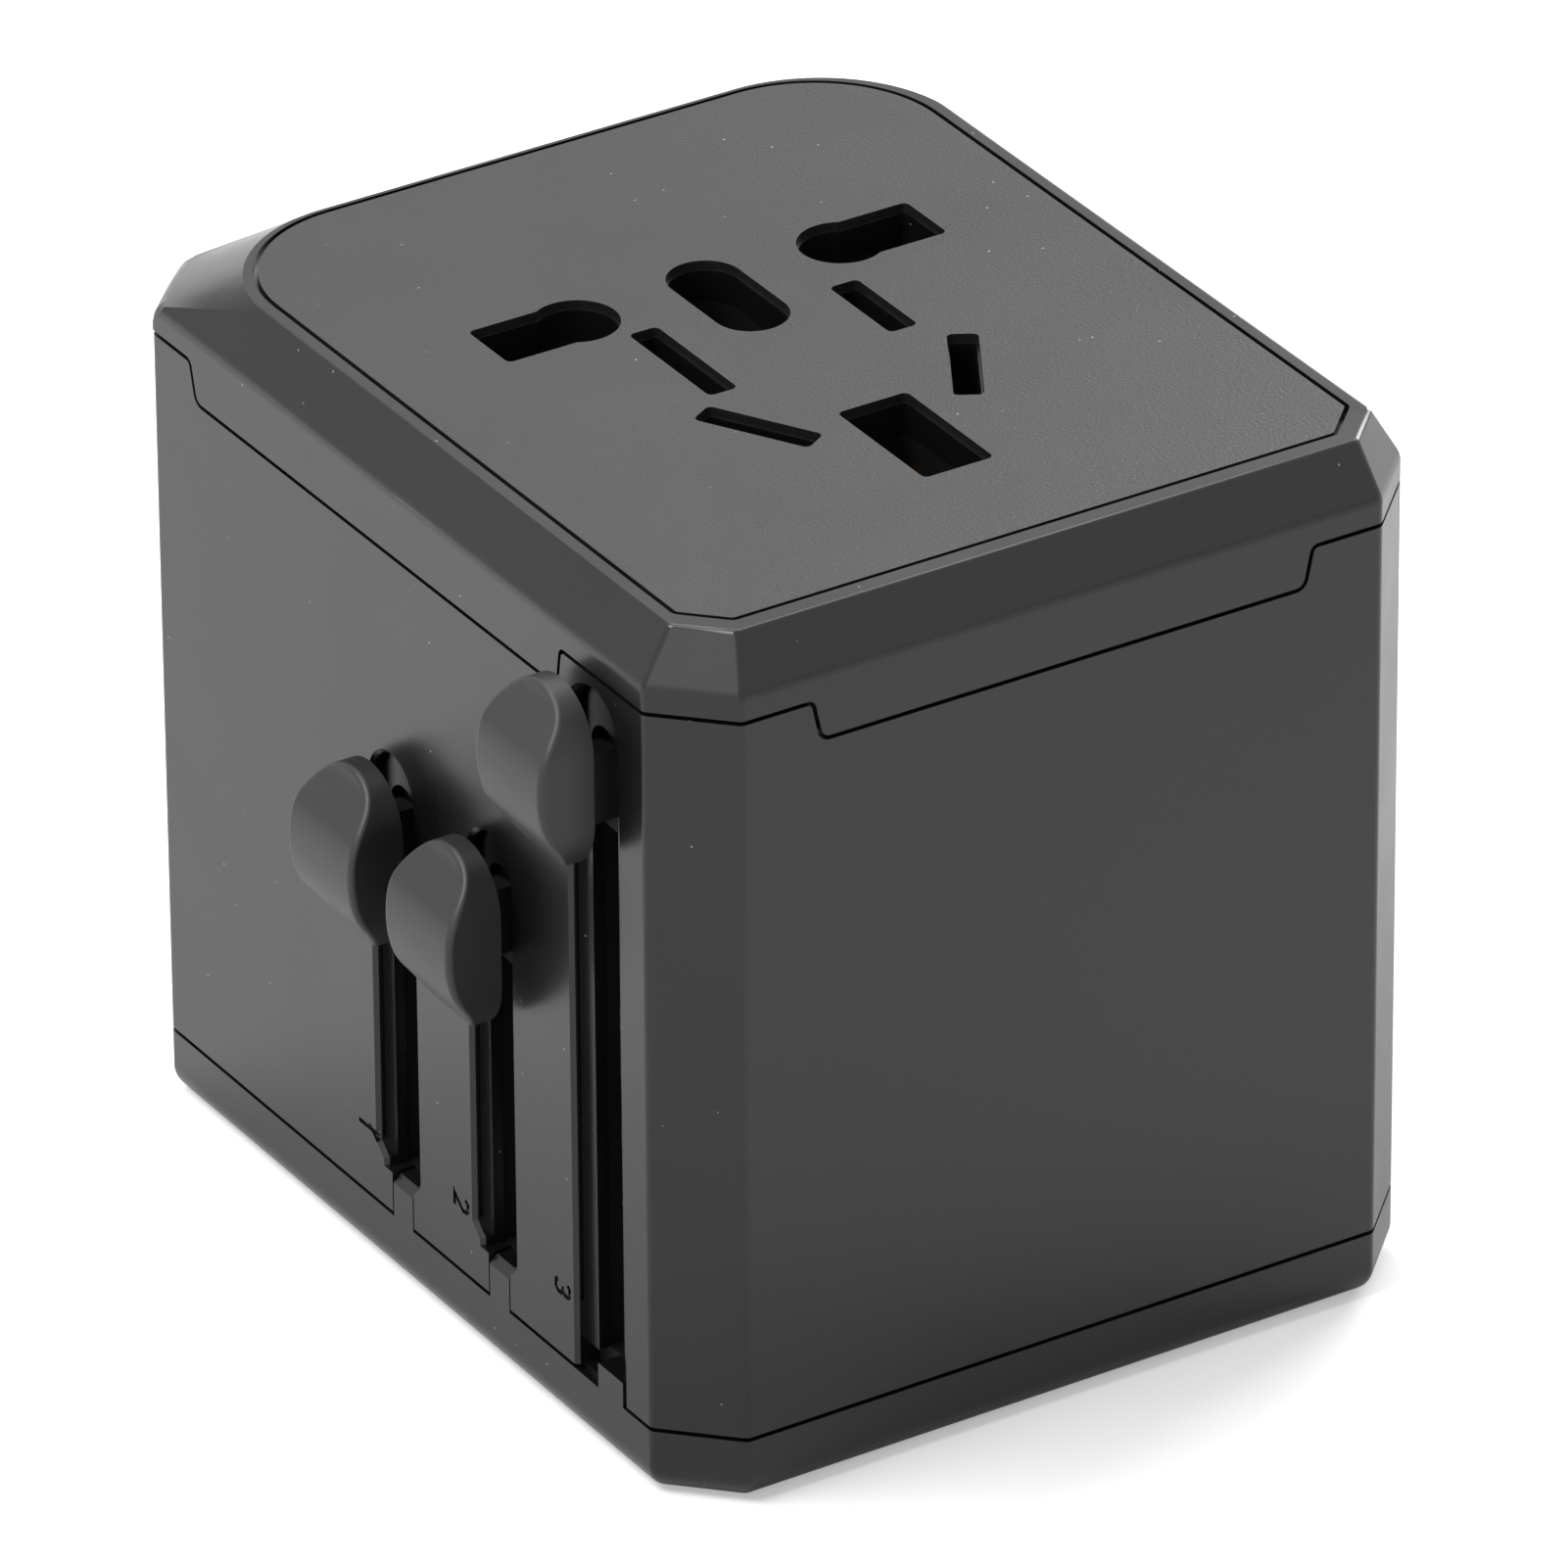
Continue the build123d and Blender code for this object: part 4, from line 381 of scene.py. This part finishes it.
# %% Skin over rings
def skin(name, rings, material, body="housing"):
    """Closed mesh over an array of rings: quads between neighbours, a fan of triangles at each end."""
    count, around = rings.shape[:2]
    ends = np.stack([rings[0].mean(axis=0), rings[-1].mean(axis=0)])
    points = np.concatenate([rings.reshape(-1, 3), ends])
    row, step = np.meshgrid(np.arange(count - 1), np.arange(around), indexing="ij")
    after = (step + 1) % around
    here, beyond = row * around, (row + 1) * around
    quads = np.stack([here + step, here + after, beyond + after, beyond + step], axis=-1).reshape(-1, 4)
    step = np.arange(around)
    after = (step + 1) % around
    last = (count - 1) * around
    first_fan = np.stack([np.full(around, count * around), after, step], axis=-1)
    last_fan = np.stack([np.full(around, count * around + 1), last + step, last + after], axis=-1)
    mesh = bpy.data.meshes.new(name)
    mesh.from_pydata(points.tolist(), [], quads.tolist() + first_fan.tolist() + last_fan.tolist())
    mesh.materials.append(material)
    mesh.shade_smooth()
    piece = bpy.data.objects.new(name, mesh)
    bpy.context.scene.collection.objects.link(piece)
    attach(piece, body)


def tube(path, radius, around=12):
    """Rings around a path: each point's circle lies across the path's direction there."""
    path = np.asarray(path, float)
    along = np.gradient(path, axis=0)
    along /= np.linalg.norm(along, axis=1, keepdims=True)
    side = np.cross(along, (0.0, 0.0, 1.0))
    side /= np.linalg.norm(side, axis=1, keepdims=True)
    up = np.cross(side, along)
    turn = np.linspace(0, 2 * math.pi, around, endpoint=False)[None, :, None]
    return path[:, None] + radius * (np.cos(turn) * side[:, None] + np.sin(turn) * up[:, None])


print("skin and tube ready")

# %% [markdown]
# ## Contacts of the charging sockets
# Each charging socket has a tongue with four gilded springs under it. A spring is a flat strip whose front
# end curls up a little. Its cross-section is a superellipse, a rounded rectangle with a formula.

# %% Gilded springs
def spring(x, y_root, y_tip, z, width, thickness, count=24, corner=0.5):
    """Strip along Y: superellipse sections, lifted by a quarter wave over the last third."""
    share = np.linspace(0, 1, count)
    turn = np.linspace(0, 2 * math.pi, count, endpoint=False)
    across = np.sign(np.cos(turn)) * np.abs(np.cos(turn)) ** corner * width / 2
    up = np.sign(np.sin(turn)) * np.abs(np.sin(turn)) ** corner * thickness / 2
    lift = thickness * np.sin(np.clip(share * 3 - 2, 0, 1) * math.pi / 2)
    rings = np.empty((share.size, turn.size, 3))
    rings[..., 0] = x + across
    rings[..., 1] = (y_root + (y_tip - y_root) * share)[:, None]
    rings[..., 2] = z + lift[:, None] + up
    return rings


tongue_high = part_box("usb_tongues")[1]
shell_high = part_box("usb_shells")[1]
shell_width = 13.1 * millimetre
socket_x = shell_high[0] - shell_width / 2
tongue_drop = 1.9 * millimetre
spring_width = 1.0 * millimetre
spring_thickness = 0.16 * millimetre
spring_root_inset = 8.4 * millimetre
spring_tip_inset = 0.5 * millimetre
spring_offsets = (-3.5, -1.0, 1.0, 3.5)
for side, side_name in ((-1, "left"), (1, "right")):
    for number, offset in enumerate(spring_offsets, start=1):
        rings = spring(
            side * socket_x + offset * millimetre,
            tongue_high[1] - spring_root_inset,
            tongue_high[1] - spring_tip_inset,
            tongue_high[2] - tongue_drop - spring_thickness / 2,
            spring_width,
            spring_thickness,
        )
        skin(f"{side_name}_charging_contact_{number}", rings, gold_flash)
print("charging contacts at x =", round(socket_x / millimetre, 2), "mm")

# %% [markdown]
# ## Fuse wire and solder
# A slow fuse has a thin wire wound in a loose helix inside its glass. Each rail that meets the board has a
# dome of solder around its tab, whose outline is a quarter of an ellipse turned around an upright axis.

# %% Fuse wire
tube_low, tube_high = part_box("fuse_tube")
fuse_middle = (np.array(tube_low) + np.array(tube_high)) / 2
wire_points = 240
wire_turns = 9
wire_radius = 0.1 * millimetre
wire_margin = 0.6 * millimetre
coil_radius = 0.45 * millimetre
share = np.linspace(0, 1, wire_points)
wire_path = np.stack(
    [
        tube_low[0] + wire_margin + share * (tube_high[0] - tube_low[0] - 2 * wire_margin),
        fuse_middle[1] + coil_radius * np.cos(2 * math.pi * wire_turns * share),
        fuse_middle[2] + coil_radius * np.sin(2 * math.pi * wire_turns * share),
    ],
    axis=-1,
)
skin("fuse_wire", tube(wire_path, wire_radius), plated_brass)
print("fuse wire turns:", wire_turns)

# %% Solder domes
def dome(x, y, z, radius, height, levels=10, around=20, closing=0.96):
    """Rings of a dome: the radius falls as a cosine while the height grows as a sine."""
    lift = np.linspace(0, math.pi / 2 * closing, levels)
    turn = np.linspace(0, 2 * math.pi, around, endpoint=False)
    rings = np.empty((lift.size, turn.size, 3))
    rings[..., 0] = x + radius * np.cos(lift)[:, None] * np.cos(turn)
    rings[..., 1] = y + radius * np.cos(lift)[:, None] * np.sin(turn)
    rings[..., 2] = z + height * np.sin(lift)[:, None]
    return rings


board_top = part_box("converter_board")[1][2]
solder_radius = 0.9 * millimetre
solder_height = 0.7 * millimetre
solder_rise = 0.3 * millimetre
rail_half_thickness = 0.3 * millimetre
solder_inset = 0.7 * millimetre
for name in ("line_rail", "neutral_rail"):
    low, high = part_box(name)
    outer_x = max(low[0], high[0], key=abs)
    rings = dome(
        outer_x - math.copysign(rail_half_thickness, outer_x),
        high[1] - solder_inset,
        board_top + solder_rise,
        solder_radius,
        solder_height,
    )
    skin(name.replace("rail", "solder"), rings, solder_tin)
print("solder domes start at z =", round((board_top + solder_rise) / millimetre, 2), "mm")

# %% [markdown]
# ## Floor, light and white surroundings
# The photo shows the object alone on white, and its gloss mirrors that white on every side. The floor is a
# pale sheet just below the base, so that the two never share a plane. It keeps the shadow, and it is clear
# from below, so that the base can be looked at. The world is white for the camera, in mirrors and through
# glass, and dimmer as a light. On black gloss a lamp shows only on the faces that mirror it, so each of the
# five wide lamps stands where it brings out a face or an edge for this camera.

# %% Floor
camera_glow = 0.35
mirror_glow = 0.07
paper_patch = 10 * millimetre


def pale_floor():
    """White floor, a little brighter to the camera and to reflections, and clear when seen from below."""
    material, tree, shader, add = new_material("pale_floor")
    shader.inputs["Roughness"].default_value = 0.9
    shader.inputs["Specular IOR Level"].default_value = 0.0
    paper = noise(add, paper_patch)
    colour = blend(add, spread(add, paper.outputs["Fac"], 0.0, 1.0), grey(0.9), grey(0.93))
    tree.links.new(colour, shader.inputs["Base Color"])
    rays = add("ShaderNodeLightPath")
    direct, mirrored = (
        add("ShaderNodeMath", {0: rays.outputs[kind], 1: amount}, operation="MULTIPLY").outputs[0]
        for kind, amount in (("Is Camera Ray", camera_glow), ("Is Glossy Ray", mirror_glow))
    )
    glow = add("ShaderNodeMath", {0: direct, 1: mirrored}, operation="ADD")
    shader.inputs["Emission Color"].default_value = (1, 1, 1, 1)
    tree.links.new(glow.outputs[0], shader.inputs["Emission Strength"])
    sides = add("ShaderNodeNewGeometry")
    nothing = add("ShaderNodeBsdfTransparent")
    either = add(
        "ShaderNodeMixShader",
        {0: sides.outputs["Backfacing"], 1: shader.outputs["BSDF"], 2: nothing.outputs["BSDF"]},
    )
    tree.links.new(either.outputs["Shader"], tree.nodes["Material Output"].inputs["Surface"])
    return material


floor_reach = 3.0
floor_level = -0.02 * millimetre
corners = floor_reach * np.array([(-1, -1), (1, -1), (1, 1), (-1, 1)])
floor_points = np.column_stack([corners, np.full(len(corners), floor_level)])
floor_mesh = bpy.data.meshes.new("floor")
floor_mesh.from_pydata(floor_points.tolist(), [], [(0, 1, 2, 3)])
floor_mesh.materials.append(pale_floor())
floor = bpy.data.objects.new("floor", floor_mesh)
bpy.context.scene.collection.objects.link(floor)
print("floor reach:", floor_reach, "m")

# %% White world
strength_seen = 1.0
strength_as_light = 0.28
world = bpy.data.worlds.new("white_studio")
bpy.context.scene.world = world
world.use_nodes = True
sky = world.node_tree
for node in list(sky.nodes):
    sky.nodes.remove(node)
add_to_sky = node_adder(sky)
rays = add_to_sky("ShaderNodeLightPath")
seen = rays.outputs["Is Camera Ray"]
for kind in ("Is Glossy Ray", "Is Transmission Ray"):
    either = add_to_sky("ShaderNodeMath", {0: seen, 1: rays.outputs[kind]}, operation="MAXIMUM")
    seen = either.outputs[0]
strength = add_to_sky(
    "ShaderNodeMapRange", {"Value": seen, "To Min": strength_as_light, "To Max": strength_seen},
)
surround = add_to_sky(
    "ShaderNodeBackground", {"Color": (1, 1, 1, 1), "Strength": strength.outputs["Result"]},
)
add_to_sky("ShaderNodeOutputWorld", {"Surface": surround.outputs["Background"]})
print("world:", world.name)

# %% Lamps
def soft_lamp(name, place, width, power, target=(0, 0, 0.03)):
    """Square area lamp at a place, turned to the object."""
    lamp = bpy.data.lights.new(name, "AREA")
    lamp.shape = "SQUARE"
    lamp.size = width
    lamp.energy = power
    holder = bpy.data.objects.new(name, lamp)
    holder.location = place
    holder.rotation_euler = (Vector(target) - Vector(place)).to_track_quat("-Z", "Y").to_euler()
    bpy.context.scene.collection.objects.link(holder)


soft_lamp("key_lamp", (-0.87, -0.56, 0.37), width=0.6, power=1.6)
soft_lamp("back_lamp", (0.2, 0.42, 0.85), width=0.5, power=3.5, target=(0.05, 0.1, 0.0))
soft_lamp("left_lamp", (-0.45, 0.06, 0.7), width=0.4, power=4.5, target=(-0.08, 0.06, 0.0))
soft_lamp("right_lamp", (0.65, 0.35, 0.32), width=0.4, power=5.4, target=(0.1, 0.07, 0.0))
soft_lamp("rear_lamp", (0.25, 1.05, 0.2), width=0.5, power=0.7)
print("lamps:", len(bpy.data.lights))

# %% [markdown]
# ## Camera
# The camera's place and turn were solved from the corners of the case and the holes in the photo, with a
# long lens far away, so that upright edges stay nearly parallel.

# %% Camera
camera_place = (-0.4517, -0.72632, 0.5088)
camera_azimuth = math.radians(-31.915)
camera_elevation = math.radians(29.44)
camera_roll = math.radians(-0.412)
sensor_width = 36
focal_length = 386.42
nearest_seen = 0.05
back = Vector((
    math.sin(camera_azimuth) * math.cos(camera_elevation),
    -math.cos(camera_azimuth) * math.cos(camera_elevation),
    math.sin(camera_elevation),
))
right = Vector((0, 0, 1)).cross(back).normalized()
up = back.cross(right)
tilted_right = right * math.cos(camera_roll) + up * math.sin(camera_roll)
tilted_up = up * math.cos(camera_roll) - right * math.sin(camera_roll)
lens = bpy.data.cameras.new("camera")
lens.sensor_width = sensor_width
lens.lens = focal_length
lens.clip_start = nearest_seen
camera = bpy.data.objects.new("camera", lens)
turn = Matrix((tilted_right, tilted_up, back)).transposed()
camera.matrix_world = Matrix.Translation(camera_place) @ turn.to_4x4()
bpy.context.scene.collection.objects.link(camera)
bpy.context.scene.camera = camera
print("camera:", [round(value, 3) for value in camera_place])

# %% Finish
bpy.context.scene.view_settings.view_transform = "Standard"
